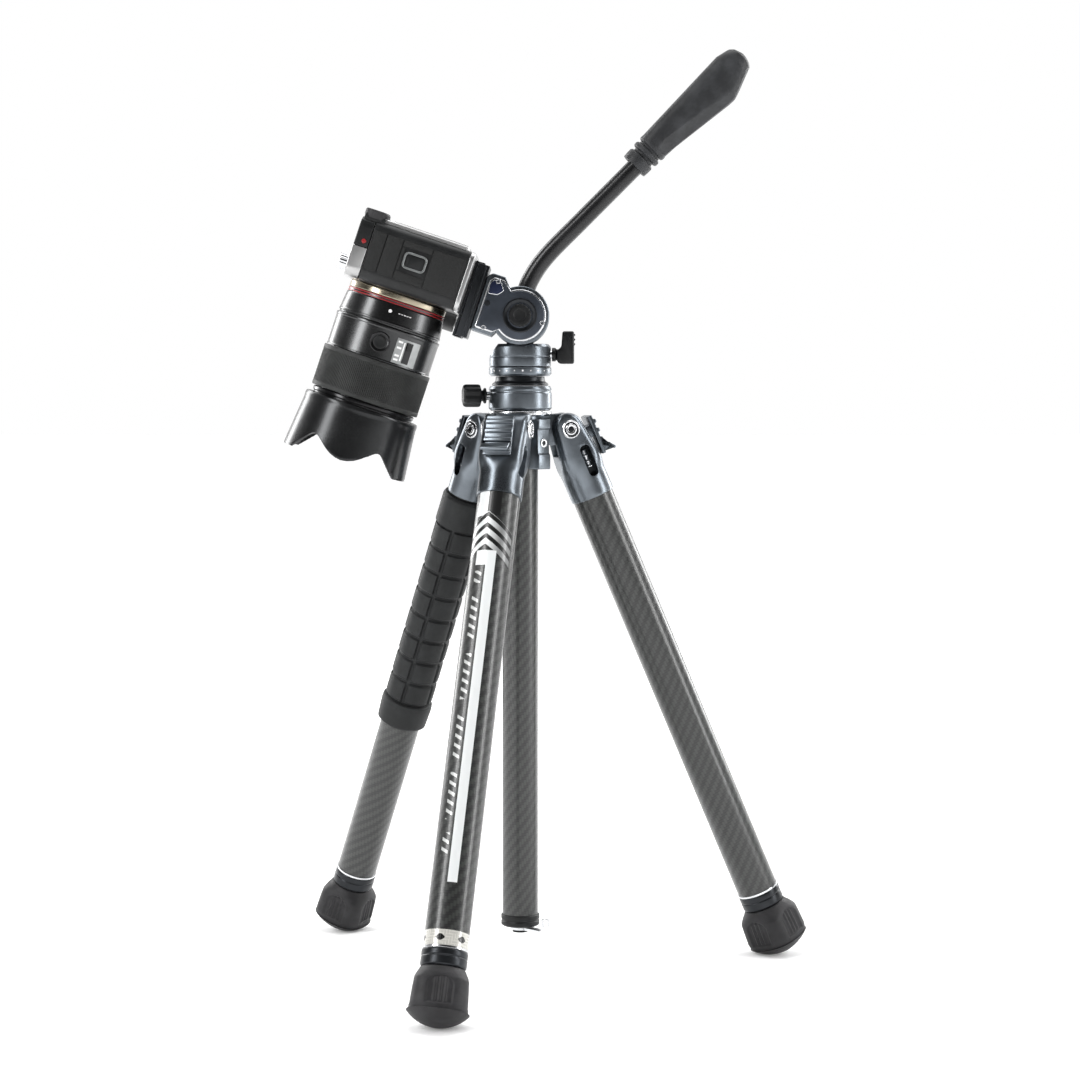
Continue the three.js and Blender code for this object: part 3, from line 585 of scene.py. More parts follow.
def twill(name, tows, print_on=None, top=0.0):
    """Carbon twill: threads two over and two under, each row one step on from the last. The
    print is a paint layer over it, from print_on(distance round, height) in millimetres."""

    def build(where, uv):
        turn, along, _ = uv.parts()
        across, row = turn * tows, along / 1.9
        step = (across.math("FLOOR") - row.math("FLOOR")) / 4
        over = step.math("FRACT") < 0.49
        warp = (across.math("FRACT") * math.pi).math("SINE")
        weft = (row.math("FRACT") * math.pi).math("SINE")
        thread = over * warp + (1.0 - over) * weft
        fleck = uv.scaled(1400, 9, 1).noise(1.0, 1.0)
        # The weave's sheen is painted into the colour. Threads lying on top are lighter, and each
        # thread is lighter along its crown and darker at its edges, as painted highlight and painted
        # shade. The fleck is random grain.
        tone = over * 0.45 + thread * 0.25 + fleck * 0.5 - 0.1
        colour = tone.mix(rgb(0.006, 0.0065, 0.0065), rgb(0.046, 0.048, 0.046))
        rough = 0.42 - thread * 0.08
        if print_on:
            round_mm = ((turn + 0.5).math("FRACT") - 0.5) * (2 * math.pi * TUBE_RADIUS)
            colour, rough = print_on(round_mm, along + top, colour, rough)
        return {"Base_Color": colour, "Roughness": rough, "Normal": thread.bump(0.25, 0.00012)}

    return paint(name, build, Metallic=0.15, Coat_Weight=0.35, Coat_Roughness=0.18)


def leg_print(across, height, colour, rough):
    """A white bar and a black bar, chevrons that point up, one long white stripe, slanted
    dashes beside it, and a silver band of dark lozenges above the collar."""
    white, black, silver = rgb(0.78, 0.8, 0.8), rgb(0.006, 0.006, 0.006), rgb(0.55, 0.54, 0.5)
    bars = height.between(CHEVRON_TOP - 3, PRINT_TOP)
    colour = (bars * across.between(-11.0, -2.6)).mix(colour, white)
    colour = (bars * across.between(-2.2, 6.2)).mix(colour, black)
    bent = height + (across + 1.5).math("ABSOLUTE") * 0.72
    arrow = (bent / 7.4).math("FRACT")
    field = bent.between(CHEVRON_LOW + 3, CHEVRON_TOP) * across.between(-15, 17)
    tint = across.fade(0.0, 9.0, 0.9, 0.25).mix(black, white)
    colour = (field * (arrow > 0.45)).mix(colour, tint)
    colour = (field * (arrow < 0.45)).mix(colour, black)
    stripe = height.between(STRIPE_LOW, CHEVRON_LOW - 8) * across.between(0.4, 6.6)
    patch = height.between(CHEVRON_LOW - 10, CHEVRON_LOW) * across.between(-7.0, 6.6)
    colour = stripe.math("MAXIMUM", patch).mix(colour, white)
    slant = ((height + across * 0.55) / 6.1).math("FRACT")
    gap = ((height + 4.0) / 39.0).math("FRACT") > 0.22
    dash = slant.between(0.2, 0.56) * across.between(-6.6, -1.6) * gap
    dash = dash * height.between(STRIPE_LOW + 16, CHEVRON_LOW - 14)
    colour = dash.mix(colour, rgb(0.5, 0.51, 0.5))
    band = height.between(BAND_LOW, BAND_TOP)
    wave = (across * (2 * math.pi / 14.7)).math("COSINE") * 2.6
    middle = (height - 0.5 * (BAND_TOP + BAND_LOW)).math("ABSOLUTE")
    lozenge = (wave - middle) > 0.5
    colour = band.mix(colour, silver)
    colour = (band * lozenge).mix(colour, black)
    return colour, rough - band * 0.1


CARBON = twill("carbon twill", 46)
CARBON_PRINTED = twill("printed carbon twill", 46, leg_print, TUBE_TOP)
CARBON_INNER = twill("inner carbon twill", 38)


def pipe(outer, inner, low, high, rim=0.4, sides=96):
    """An open pipe with rounded rims, its profile starting at the outer wall's top."""
    line = [[outer, high], [outer, low], [inner, low], [inner, high], [outer, high]]
    return turned(eased(line, rim), sides)


def tube_shape(outer, inner, low, high):
    """A pipe whose UV height runs upwards from 0 at its top, so heights stay negative below."""
    return [(p, f, [uv * (1, -1) for uv in maps]) for p, f, maps in pipe(outer, inner, low, high)]


collar_line = [[12.6, COLLAR_TOP], [14.1, COLLAR_TOP], [14.5, -349.6], [14.5, -352.4], [14.1, -353]]
collar_line += [[14.5, -353.6], [14.5, -358.2], [13.8, TUBE_LOW], [12.6, TUBE_LOW], [12.6, COLLAR_TOP]]
for letter in LEGS:
    place = leg_frames[letter]
    weave = CARBON_PRINTED if letter == "b" else CARBON
    part(
        f"leg_{letter}_carbon_tube", tube_shape(TUBE_RADIUS, 13, RING_TOP, TUBE_TOP), place, weave,
        f"leg_{letter}", "carbon_tube", f"leg_{letter}_upper_tube"
    )
    part(
        f"leg_{letter}_ring", pipe(14.4, 12.6, COLLAR_TOP, RING_TOP, 0.3), place, BRIGHT,
        f"leg_{letter}", "bright_steel"
    )
    part(
        f"leg_{letter}_collar", turned(eased(collar_line, 0.3)), place, DARK_ALLOY, f"leg_{letter}",
        "black_alloy"
    )
    part(
        f"leg_{letter}_middle_carbon", tube_shape(12, 11, -358.5, -62), place, CARBON_INNER,
        f"leg_{letter}_middle", "inner_tube", f"leg_{letter}_middle_tube"
    )
    part(
        f"leg_{letter}_lower_carbon", tube_shape(10.5, 9.5, -379.5, -75), place, CARBON_INNER,
        f"leg_{letter}_lower", "inner_tube", f"leg_{letter}_lower_tube"
    )

# ----------------------------------------
# The leg grip. A sleeve of moulded black rubber over one tube: a plain cuff at the top, eight
# rows of squared pads in five columns with grooves between them, and a wider cuff at the bottom.


def rubber(name, colour, roughness=0.68, grit=900.0):
    """Black rubber: a dusty bloom in slow clouds, and a fine moulded grit."""

    def build(where, uv):
        bloom = where.noise(70.0, 4.0, 0.6)
        grain = where.noise(grit, 2.0, 0.6)
        dark = rgb(*[c * 0.75 for c in colour])
        light = rgb(*[c * 1.5 for c in colour])
        return {
            "Base_Color": bloom.fade(0.35, 0.75).mix(dark, light),
            "Roughness": bloom * 0.16 + grain * 0.1 + (roughness - 0.13),
            "Normal": grain.bump(0.35, 0.00008),
        }

    return paint(name, build, Specular_IOR_Level=0.3)


GRIP_RUBBER = rubber("grip rubber", (0.012, 0.013, 0.0135), 0.6)
GRIP_TOP, CUFF_LOW, PADS_LOW, GRIP_LOW = -50.0, -72.5, -206.5, -226.0
PAD_ROWS, PAD_COLUMNS, PAD_TURN = 8, 5, 50.4


def grip_rings():
    """Rings down the sleeve. A groove lies at each row and column line: its depth falls off as
    the smoothstep of the distance from the line."""
    z = np.concatenate(
        [[GRIP_TOP, GRIP_TOP - 0.6], np.arange(GRIP_TOP - 1.2, GRIP_LOW + 0.5, -0.6), [GRIP_LOW]]
    )
    t = whole(200)
    cuff = np.interp(z, [GRIP_LOW, -224.5, -211, -207.6, PADS_LOW, CUFF_LOW, -71.6, -52, GRIP_TOP],
                     [15.6, 17.3, 18.0, 17.7, 16.4, 16.4, 17.4, 17.3, 16.2])
    rows = (z - PADS_LOW) / (CUFF_LOW - PADS_LOW) * PAD_ROWS
    from_row = np.abs(rows - np.round(rows)) * (CUFF_LOW - PADS_LOW) / PAD_ROWS
    columns = (np.degrees(t) - PAD_TURN) / 360 * PAD_COLUMNS
    from_column = np.abs(columns - np.round(columns)) * 2 * math.pi * 16.4 / PAD_COLUMNS
    on_pads = ((z <= CUFF_LOW + 0.7) & (z >= PADS_LOW - 0.7))[:, None]
    nearest = np.minimum(from_row[:, None], from_column[None, :])
    s = np.clip(1 - (nearest - 0.7) / 0.9, 0, 1)
    depth = np.where(on_pads, 1.35 * s * s * (3 - 2 * s), 0)
    swell = np.where(on_pads, 0.35 * np.minimum(nearest / 4, 1), 0)
    return round_rings(cuff[:, None] - depth + swell, t, z[:, None])


part(
    "leg_a_grip", lofted(grip_rings()), leg_frames["a"], GRIP_RUBBER, "leg_a", "black_rubber",
    "leg_a_grip_sleeve", sharp=40
)

# ----------------------------------------
# The feet. Moulded black rubber with four flats, each with an arched panel of upright ribs, over
# a rolling dome that is worn flat where it stands. Each twists to unlock the tubes above it.
FOOT_RUBBER = rubber("foot rubber", (0.02, 0.0195, 0.021), 0.55)
FOOT_HIGH, DOME_TOP, DOME_RADIUS, DOME_CENTRE = -359.5, -386.6, 26.0, -369.7
PANEL_HALF, PANEL_TOP, PANEL_LOW, PANEL_RIB = 8.6, -365.5, -383.5, 3.5
foot_turn = {"a": 20.0, "b": 17.0, "c": 34.0}


def foot_rings():
    """Rings down the foot: |x|^n + |y|^n = r^n, with n = 2 at the neck and the dome and 3.6 at
    the flats. The dome is part of a sphere. Each panel sinks between its ribs."""
    z = np.concatenate([[FOOT_HIGH, FOOT_HIGH - 0.3], np.arange(-360.4, DOME_TOP, -0.5)])
    side = np.interp(z, [DOME_TOP, -384, -372, -367, -364, -361.4, -360, FOOT_HIGH],
                     [18.6, 18.4, 17.7, 17.2, 16.2, 14.9, 14.3, 13.6])
    flat = np.interp(z, [DOME_TOP, -383, -368, -362.5, FOOT_HIGH], [2.5, 3.3, 3.6, 2.3, 2.0])
    fall = np.sin(np.linspace(0, math.pi / 2, 30))
    dome_z = DOME_TOP + fall * (DOME_CENTRE - DOME_RADIUS + 0.02 - DOME_TOP)
    dome = np.sqrt(np.maximum(DOME_RADIUS**2 - (dome_z - DOME_CENTRE) ** 2, 0.01))
    z, side = np.concatenate([z, dome_z]), np.concatenate([side, dome - 0.15])
    flat = np.concatenate([flat, np.linspace(2.4, 2.0, 30)])[:, None]
    t = whole(224)
    radius = side[:, None] / (np.abs(np.cos(t)) ** flat + np.abs(np.sin(t)) ** flat) ** (1 / flat)
    near = (t + math.pi / 4) % (math.pi / 2) - math.pi / 4
    across = radius * np.sin(near)
    arch = PANEL_TOP - (PANEL_HALF - np.sqrt(np.maximum(PANEL_HALF**2 - across**2, 0))) * 0.8
    edge = np.minimum(
        PANEL_HALF - np.abs(across), np.minimum(arch - z[:, None], z[:, None] - PANEL_LOW)
    )
    sunk = np.clip(edge / 0.8, 0, 1)
    rib = np.cos(math.pi * across / PANEL_RIB) ** 2
    rib = np.where(np.abs(across) < 2.45 * PANEL_RIB / 1.5, rib, 0) * np.clip((edge - 0.8) / 0.8, 0, 1)
    return round_rings(radius - 1.1 * sunk * (1 - 0.8 * rib), t, z[:, None])


for letter in LEGS:
    place = leg_frames[letter]
    rings = shifted([(foot_rings(), None, None)], turn=foot_turn[letter])[0][0]
    # What would reach below the floor is drawn back along the leg's own axis, as wear.
    rings[..., 2] -= np.minimum(place(rings)[..., 2] - 0.00005, 0) * 1000 / place.axes[2][2]
    part(
        f"leg_{letter}_rubber_foot", lofted(rings), place, FOOT_RUBBER, f"leg_{letter}_foot",
        "black_rubber", f"leg_{letter}_foot", sharp=50
    )

# ----------------------------------------
# The column. A carbon tube through the hub, clamped by a grey alloy collar with a black lobed
# knob, plugged at its foot by a black cap, and with a bent steel hook that swivels under it.
KNOB_PLASTIC = rubber("knob plastic", (0.007, 0.0075, 0.008), 0.42, 1500)
COLUMN_RADIUS, COLUMN_LOW, COLUMN_HIGH, CAP_HIGH = 12.0, 33.0, 393.5, 37.0
COLLAR_LOW, COLLAR_WIDE = 377.1, 21.2


def lobed(profile, depths, lobes, sides=120):
    """A turned profile whose radius at turn t is r (1 - depth (0.5 - 0.5 cos(lobes t))). The
    depth is one number, or one for each point of the profile that lies off the axis."""
    points, faces, maps = turned(profile, sides)[0]
    shape = points.reshape(-1, sides, 3).copy()
    depth = np.broadcast_to(depths, len(shape))[:, None]
    shape[..., :2] *= (1 - depth * (0.5 - 0.5 * np.cos(lobes * whole(sides))))[..., None]
    return [(shape.reshape(-1, 3), faces, maps)]


def knob(low, high, radius, lobes=6, depth=0.12):
    """A lobed knob head on the Z axis, with a dished end and an eased neck."""
    line = [[radius * 0.62, low], [radius * 0.95, low + 0.8], [radius, low + 2.2]]
    line += [[radius, high - 2.2], [radius * 0.94, high - 0.7], [radius * 0.8, high]]
    line += [[radius * 0.5, high - 0.5], [0, high - 0.6]]
    smooth = eased([[0, low]] + line, 0.6)
    rim = np.interp(
        smooth[smooth[:, 0] > 1e-6][:, 0], [0, radius * 0.6, radius], [0, depth * 0.6, depth]
    )
    return lobed(smooth, rim, lobes)


part(
    "column_carbon", tube_shape(COLUMN_RADIUS, 10.8, COLUMN_LOW, COLUMN_HIGH), column_axis, CARBON,
    "column", "carbon_tube", "centre_column"
)
collar_line = [[12.2, COLLAR_LOW], [19.6, COLLAR_LOW], [COLLAR_WIDE, COLLAR_LOW + 1.5]]
collar_line += [[COLLAR_WIDE, 388.6], [20.6, 389.4], [20.6, 390.4], [COLLAR_WIDE, 391.2]]
collar_line += [[20.2, COLUMN_HIGH], [12.2, COLUMN_HIGH], [12.2, COLLAR_LOW]]
part(
    "column_collar_ring", turned(eased(collar_line, 0.4), 128), column_axis, ANODISED, "tripod",
    "alloy_grey", "column_collar"
)


def on_column(name, x, z):
    """A frame on the column's axis, at the height of a joint's pivot."""
    return Place((*column_axis.origin[:2], joint[name]["pos_m"][2]), x, z)


lock = joint["column_lock_turn"]
lock_out = np.asarray(lock["axis"], float)
lock_out *= np.sign(lock_out @ (np.asarray(lock["pos_m"]) - column_axis.origin))
lock_place = on_column("column_lock_turn", (0, 0, 1), lock_out)
lock_head = knob(26.5, 39, 7.6, 6, 0.14)
lock_head += turned(
    eased([[0, 23.4], [5.2, 23.4], [5.2, 24.6], [3.6, 25.4], [3.6, 27], [0, 27]], 0.3), 48
)
part(
    "column_knob_head", lock_head, lock_place, KNOB_PLASTIC, "column_knob", "black_plastic",
    "column_lock_knob"
)
part(
    "column_knob_screw", round_bar(2.9, 16.2, 26, 0.3, 40), lock_place, BRIGHT, "column_knob",
    "bright_steel"
)
cap_line = [[0, 24.4], [5.4, 24.4], [5.4, 25.6], [3.2, 25.7], [3.2, 28.5], [11.6, 28.8], [13, 29.8]]
cap_line += [
    [13, 32.2], [12.5, 32.7], [12.5, 33.3], [13, 33.8], [13, 36.4], [12.1, CAP_HIGH], [12.1, 33.2],
    [10.4, 33.2], [10.4, 42], [0, 42]
]
part(
    "column_cap", turned(eased(cap_line, 0.3)), column_axis, KNOB_PLASTIC, "column", "black_plastic",
    "column_end_cap"
)
hook_place = column_axis.at(turn=-45.4)
hook_line = [
    [6.0, 26.1], [23.2, 26.1], [25.2, 28.1], [25.2, 36.4], [22.9, 36.4], [22.9, 29.4], [21.9, 28.3],
    [6.0, 28.3]
]
hook_shape = hoop(3.6, 6.4, 26.1, 28.3, 0.4) + upright(slab(eased(hook_line, 1.1, True), -3, 3, 0.4))
part("hook_plate", hook_shape, hook_place, BRIGHT, "hook", "bright_steel", "weight_hook")

# ----------------------------------------
# The pan joint. A black turned cone carries a ring of grey alloy with white index dots, and the
# head's base turns on the ring: a grey alloy disc, sloped on its -X side, hollowed for the tilt.
INK_WHITE = paint(
    "white ink",
    lambda where, uv: {"Base_Color": where.noise(900.0).mix(rgb(0.7, 0.7, 0.7), rgb(0.85, 0.85, 0.85))},
    Roughness=0.5,
)
TILT_UP, BASE_LOW, BASE_HIGH, BASE_RADIUS = 440.0, 406.3, 421.5, 20.6
neck_line = [
    [0, 393.8], [18.6, 393.8], [19, 394.2], [18.7, 395.2], [17.2, 396.2], [16.6, 397.2], [16.4, 399.8],
    [0, 399.8]
]
part(
    "neck_cone", turned(eased(neck_line, 0.5)), column_axis, DARK_ALLOY, "column", "black_alloy",
    "head_neck"
)
ring_line = [[0, 400.1], [19.6, 400.1], [21, 401.6], [21, 405.2], [20.6, 406], [0, 406]]
part(
    "pan_scale_ring", turned(eased(ring_line, 0.3), 128), column_axis, ANODISED, "column", "alloy_grey",
    "pan_ring"
)
dots = []
for k in range(24):
    dot = sideways(round_bar((0.62, 0.38)[k % 2], 20.9, 21.12, 0.05, 16))
    dots += shifted(shifted(dot, z=403.6), turn=15 * k + 5)
part("pan_index_dots", dots, column_axis, INK_WHITE, "column", "bright_steel")
disc_line = [[0, BASE_LOW], [20.1, BASE_LOW], [BASE_RADIUS, BASE_LOW + 0.5], [BASE_RADIUS, 412.2]]
disc_line += [
    [20.25, 412.6], [20.25, 413.1], [BASE_RADIUS, 413.5], [BASE_RADIUS, 419.6], [19, BASE_HIGH],
    [0, BASE_HIGH]
]
wedge_line = [[-30, 411], [-22.6, 411], [-20.2, 413.8], [-14.2, 422], [-14.2, 430], [-30, 430]]
saddle_line = arc(0, TILT_UP, 20.0, whole(96))
seat = sideways(round_bar(3.6, 12, 30, 0.1, 40))
base_cuts = [
    upright(slab(wedge_line, -30, 30, 0.1)), upright(slab(saddle_line, -30, 30, 0.1)),
    shifted(seat, z=414.5)
]
base_cuts = [made("cut", shape, origin, ANODISED) for shape in base_cuts]
base_disc = carved(
    made("base_disc", turned(eased(disc_line, 0.3), 128), origin, ANODISED), base_cuts, 0.0005
)
settled(base_disc.data, column_axis)
fitted(base_disc, "head", "alloy_grey", "head_base")
drum = upright(slab(arc(0, TILT_UP, 16.5, whole(96)), -8.5, 8.5, 0.6))
drum += box(-9, 9, -8.5, 8.5, 412, 432, 0.4, 0.8)
part("base_drum", drum, column_axis, DARK_ALLOY, "head", "alloy_grey")

wing_place = on_column("pan_lock_turn", (1, 0, 0), (0, 0, 1))
wing_line = [
    [24.2, -3.4], [26.2, -6.2], [36.2, -6.2], [36.2, 15.6], [28.3, 15.6], [27.6, 5.2], [24.2, 2.4]
]
wing = upright(slab(eased(wing_line, 1.6, True, 5), -5.2, 5.2, 1.6, 5))
for row in range(3):
    wing += box(29.2, 36.9, -3.6, 3.6, 6.2 + 3.1 * row, 7.6 + 3.1 * row, 0.5, 0.7)
wing += sideways(
    turned(eased([[0, 21.3], [4.6, 21.3], [4.6, 23.6], [3.6, 24.4], [3.6, 26], [0, 26]], 0.3), 48)
)
part("pan_wing_knob", wing, wing_place, KNOB_PLASTIC, "pan_knob", "black_plastic", "pan_lock_knob")
wing_screw = sideways(round_bar(2.9, 13, 22, 0.3, 40))
part("pan_knob_screw", wing_screw, wing_place, BRIGHT, "pan_knob", "bright_steel")

# ----------------------------------------
# The tilt body. Two cheeks of grey anodised alloy round the drum, joined under the platform; a
# dark slate cover with a bright chamfered rim is screwed on the -Y cheek, round a black dial.
slide_axis = np.asarray(joint["plate_slide"]["axis"], float)
tilt_place = on_column("tilt", slide_axis, np.cross(slide_axis, (0, 1, 0)))
SLATE = satin("slate anodised alloy", (0.055, 0.064, 0.08), 0.7, 0.4)
NAVY = satin("navy anodised alloy", (0.012, 0.018, 0.05), 0.6, 0.4)
TILT_RADIUS, PLATFORM, CHEEK = 19.5, 28.6, 20.0


def tilt_outline(inwards=0.0, steps=72):
    """The cheek: a circle about the tilt axis, and an arm from it up to the platform."""
    r, top = TILT_RADIUS - inwards, PLATFORM - inwards
    cheek = arc(0, 0, r, np.radians(np.linspace(142, 398, steps)))
    arm = [
        [21 - inwards, 17], [21 - inwards, top - 3], [18 - inwards, top], [-19 + inwards, top],
        [-19 + inwards, 14]
    ]
    return np.concatenate([cheek, eased(arm, 1.2)])


cheeks = upright(slab(tilt_outline(), -CHEEK, -9.0, 0.9))
cheeks += upright(slab(tilt_outline(), 9.0, CHEEK, 0.9))
bridge_line = [[-18.6, 17.6], [20.6, 17.6], [20.6, 25.4], [17.8, 28.3], [-18.6, 28.3]]
cheeks += upright(slab(bridge_line, -9.4, 9.4, 0.2))
part("tilt_cheeks", cheeks, tilt_place, ANODISED, "tilt_head", "alloy_grey", "tilt_body")
rim_shape = upright(slab(tilt_outline(2.2), -CHEEK - 1.1, -CHEEK + 0.4, 0.9, 4))
part("tilt_bright_rim", rim_shape, tilt_place, BRIGHT, "tilt_head", "bright_steel")
cover_shape = upright(slab(tilt_outline(3.4), -CHEEK - 2.2, -CHEEK + 0.1, 0.7, 4))
part("tilt_cover", cover_shape, tilt_place, SLATE, "tilt_head", "black_alloy", "tilt_side_cover")
pocket_line = eased(
    [[8.4, 18.4], [12, 15.4], [16.6, 19], [16.6, 23.4], [14, 25], [7.4, 24.6]], 1.2, True
)
pocket = upright(slab(pocket_line, -CHEEK - 2.35, -CHEEK, 0.1))
pocket_rim = upright(slab(inset(pocket_line, -0.4), -CHEEK - 2.3, -CHEEK, 0.2))
# Painted shade: a dark disc on the cover stands for the shade inside the bore.
bore = upright(shifted(round_bar(2.0, -CHEEK - 2.4, -CHEEK, 0.1, 40), 1.0, 23.0))
part("tilt_cover_bore_shade", bore, tilt_place, DARK_ALLOY, "tilt_head", "black_alloy")
part("tilt_pocket", pocket, tilt_place, NAVY, "tilt_head", "black_alloy")
part("tilt_pocket_rim", pocket_rim, tilt_place, BRIGHT, "tilt_head", "bright_steel")
dial_place = Place(tilt_place.origin, tilt_place.axes[0], (0, -1, 0))
well = turned(
    eased([[8.4, 20], [11.4, 20], [11.4, 22.9], [10.6, 23.1], [8.4, 22.4], [8.4, 20]], 0.25), 96
)
part("tilt_dial_well", well, dial_place, DARK_ALLOY, "tilt_head", "black_alloy")
dial_line = [[0, 20.3], [7.8, 20.3], [7.8, 23.2], [7.0, 24.0], [4.4, 24.0], [4.0, 23.4], [0, 23.4]]
dial = lobed(eased(dial_line, 0.3), 0.05, 20, 240)
part("tilt_dial_cap", dial, dial_place, KNOB_PLASTIC, "tilt_dial", "black_plastic", "tilt_lock_dial")
part(
    "tilt_axle_rod", round_bar(4.9, -33, 19.8), dial_place, BRIGHT, "tilt_head", "bright_steel",
    "tilt_axle"
)
screws = []
for x, z in ((-15.2, 20.6), (16.8, 20.6), (0, -15.6)):
    screws += shifted(hoop(0.9, 1.7, 0, 0.5, 0.15, 24), x, z, 21.9)
part("tilt_cover_screws", screws, dial_place, BRIGHT, "tilt_head", "bright_steel")

# ----------------------------------------
# The plate clamp. A black milled channel with two undercut jaws, a lobed knob on its +Y side, and
# the dovetailed release plate in it, held to the camera by a steel screw.


def rail(section, x0, x1, rim=0.4):
    """A section of [y, z] carried from x0 to x1 along X."""
    return sideways(slab(section, x0, x1, rim))


clamp_section = [
    [-21, 28.9], [21, 28.9], [21, 36.4], [20.4, 37], [15.4, 37], [15.2, 36.6], [18, 34.6], [18, 32.2]
]
clamp_section += [[-18, 32.2], [-18, 34.6], [-15.2, 36.6], [-15.4, 37], [-20.4, 37], [-21, 36.4]]
clamp = rail(clamp_section, -25.5, 24.5)
clamp += box(-5.2, 5.2, 20.5, 24.2, 29.2, 36) + box(-24.5, 23.5, -21.6, -20.5, 30.6, 32.2)
part("clamp_channel", clamp, tilt_place, DARK_ALLOY, "tilt_head", "black_alloy", "plate_clamp")
clamp_place = Place(tilt_place((0, 0, 31.8)), tilt_place.axes[0], (0, 1, 0))
part(
    "clamp_knob_head", knob(24.6, 34, 6.2, 5, 0.14), clamp_place, KNOB_PLASTIC, "clamp_knob",
    "black_plastic", "clamp_knob"
)
clamp_screw = round_bar(1.8, 19.7, 25, 0.2, 32)
part("clamp_knob_screw", clamp_screw, clamp_place, BRIGHT, "clamp_knob", "bright_steel")
plate_section = [
    [-17.4, 32.6], [17.4, 32.6], [17.4, 34.4], [14.6, 36.8], [14.6, 37.3], [19.5, 37.3], [19.5, 38.6]
]
plate_section += [[-19.5, 38.6], [-19.5, 37.3], [-14.6, 37.3], [-14.6, 36.8], [-17.4, 34.4]]
release = rail(plate_section, -26.5, 25.5, 0.35)
part("release_slide", release, tilt_place, DARK_ALLOY, "camera", "black_alloy", "release_plate")
screw_line = [
    [0, 33.1], [4.6, 33.1], [4.6, 33.8], [6.9, 33.8], [6.9, 34.7], [3.0, 35], [3.0, 49.4], [0, 49.4]
]
part(
    "camera_fixing_screw", turned(eased(screw_line, 0.2), 64), tilt_place, BRIGHT, "camera",
    "bright_steel", "camera_screw"
)

# ----------------------------------------
# The pan handle. A bent black steel tube in a hub on the tilt axle, and a long moulded rubber
# grip over its end, with three stepped rings at its throat and one slanting flat.
handle_place = on_column("handle_swing", (1, 0, 0), (0, 0, 1))
HANDLE_OUT = 28.0
boss_line = [
    [5.2, -20.3], [10.2, -20.3], [11, -21.2], [11, -33.4], [9.8, -35], [5.2, -35], [5.2, -20.3]
]
boss_place = Place(handle_place.origin, (1, 0, 0), (0, -1, 0))
part(
    "handle_boss", turned(eased(boss_line, 0.4), 96), boss_place, DARK_ALLOY, "handle", "black_alloy",
    "handle_hub"
)
lean = math.radians(16)
stem_x, stem_z = (math.cos(lean), 0, -math.sin(lean)), (math.sin(lean), 0, math.cos(lean))
stem_place = Place(handle_place((-1.2, HANDLE_OUT, 0.6)), stem_x, stem_z)
stem_line = [[6.1, 4], [7.6, 4], [7.6, 13.4], [7.0, 15.2], [6.1, 15.2], [6.1, 4]]
part("handle_stem", turned(eased(stem_line, 0.4), 64), stem_place, DARK_ALLOY, "handle", "black_alloy")


def swept(path, radius, sides=48, steps=90):
    """A round bar along a line of [x, z] in the plane y = 0: cubic curves through the points, each
    with the slope between its neighbours (Catmull-Rom)."""
    p = np.asarray(path, float)
    p = np.concatenate([[2 * p[0] - p[1]], p, [2 * p[-1] - p[-2]]])
    at = np.linspace(0, len(p) - 3, steps)
    k = np.minimum(at.astype(int), len(p) - 4)
    s = (at - k)[:, None]
    a, b, c, d = p[k], p[k + 1], p[k + 2], p[k + 3]
    line = 2 * b + (c - a) * s + (2 * a - 5 * b + 4 * c - d) * s**2
    line = 0.5 * (line + (3 * b - a - 3 * c + d) * s**3)
    along = np.gradient(line, axis=0)
    along /= np.linalg.norm(along, axis=1, keepdims=True)
    normal = np.stack([-along[:, 1], along[:, 0]], 1)
    t = whole(sides)[:, None]
    flat = line[:, None] + radius * np.cos(t) * normal[:, None]
    x, z = flat[..., 0], flat[..., 1]
    return lofted(np.stack([x, 0 * x + radius * np.sin(t[:, 0]), z], -1))


tube_path = [[0, 5.5], [2.2, 13], [6.8, 25.8], [18.1, 42.1], [42.2, 66.5], [63, 87.3], [87, 111.3]]
handle_bar = shifted(swept(tube_path, 6.0), y=HANDLE_OUT)
HANDLE_BLACK = satin("black enamel", (0.012, 0.012, 0.013), 0.3, 0.3, 0.12)
part("handle_bar", handle_bar, handle_place, HANDLE_BLACK, "handle", "black_alloy", "handle_tube")


def grip_section():
    """Sections along the grip: |y/a|^n + |z/b|^n = 1 about a middle line, with b and the middle
    from the grip's upper and lower edges, and one corner cut back by a slanting plane."""
    x = np.concatenate(
        [
            [0, 0.3, 1.2], np.linspace(3, 82, 60),
            88 - 5.5 * (1 - np.sin(np.linspace(0.15, 1, 12) * math.pi / 2))
        ]
    )
    low = np.interp(
        x, [0, 0.3, 1.2, 11.6, 58, 63, 67, 85, 86.8, 88],
        [-8.4, -9, -9.4, -9.9, -15.6, -15.8, -14.6, -7.6, -5.4, -1.5]
    )
    high = np.interp(x, [0, 0.3, 1.2, 74, 83.5, 86.3, 88], [10.4, 10.9, 11.2, 13.4, 11.2, 8.6, 4.0])
    wide = np.interp(x, [0, 0.3, 1.2, 40, 80, 86, 88], [9.2, 9.7, 10.0, 10.5, 10.3, 8.2, 5.0])
    power = 2 / np.interp(x, [0, 12, 80, 88], [2.3, 2.9, 2.9, 2.4])
    c, s = squared(whole(96), power[:, None])
    y = wide[:, None] * c
    z = (0.5 * (high - low))[:, None] * s + (0.5 * (high + low))[:, None]
    crease = np.interp(x, [0, 10, 80, 88], [9.2, 8.6, 15.6, 16.5])[:, None]
    beyond = np.maximum(-y * 0.78 - z * 0.62 - crease, 0)
    return np.stack([x[:, None] + 0 * y, y + beyond * 0.78, z + beyond * 0.62], -1)


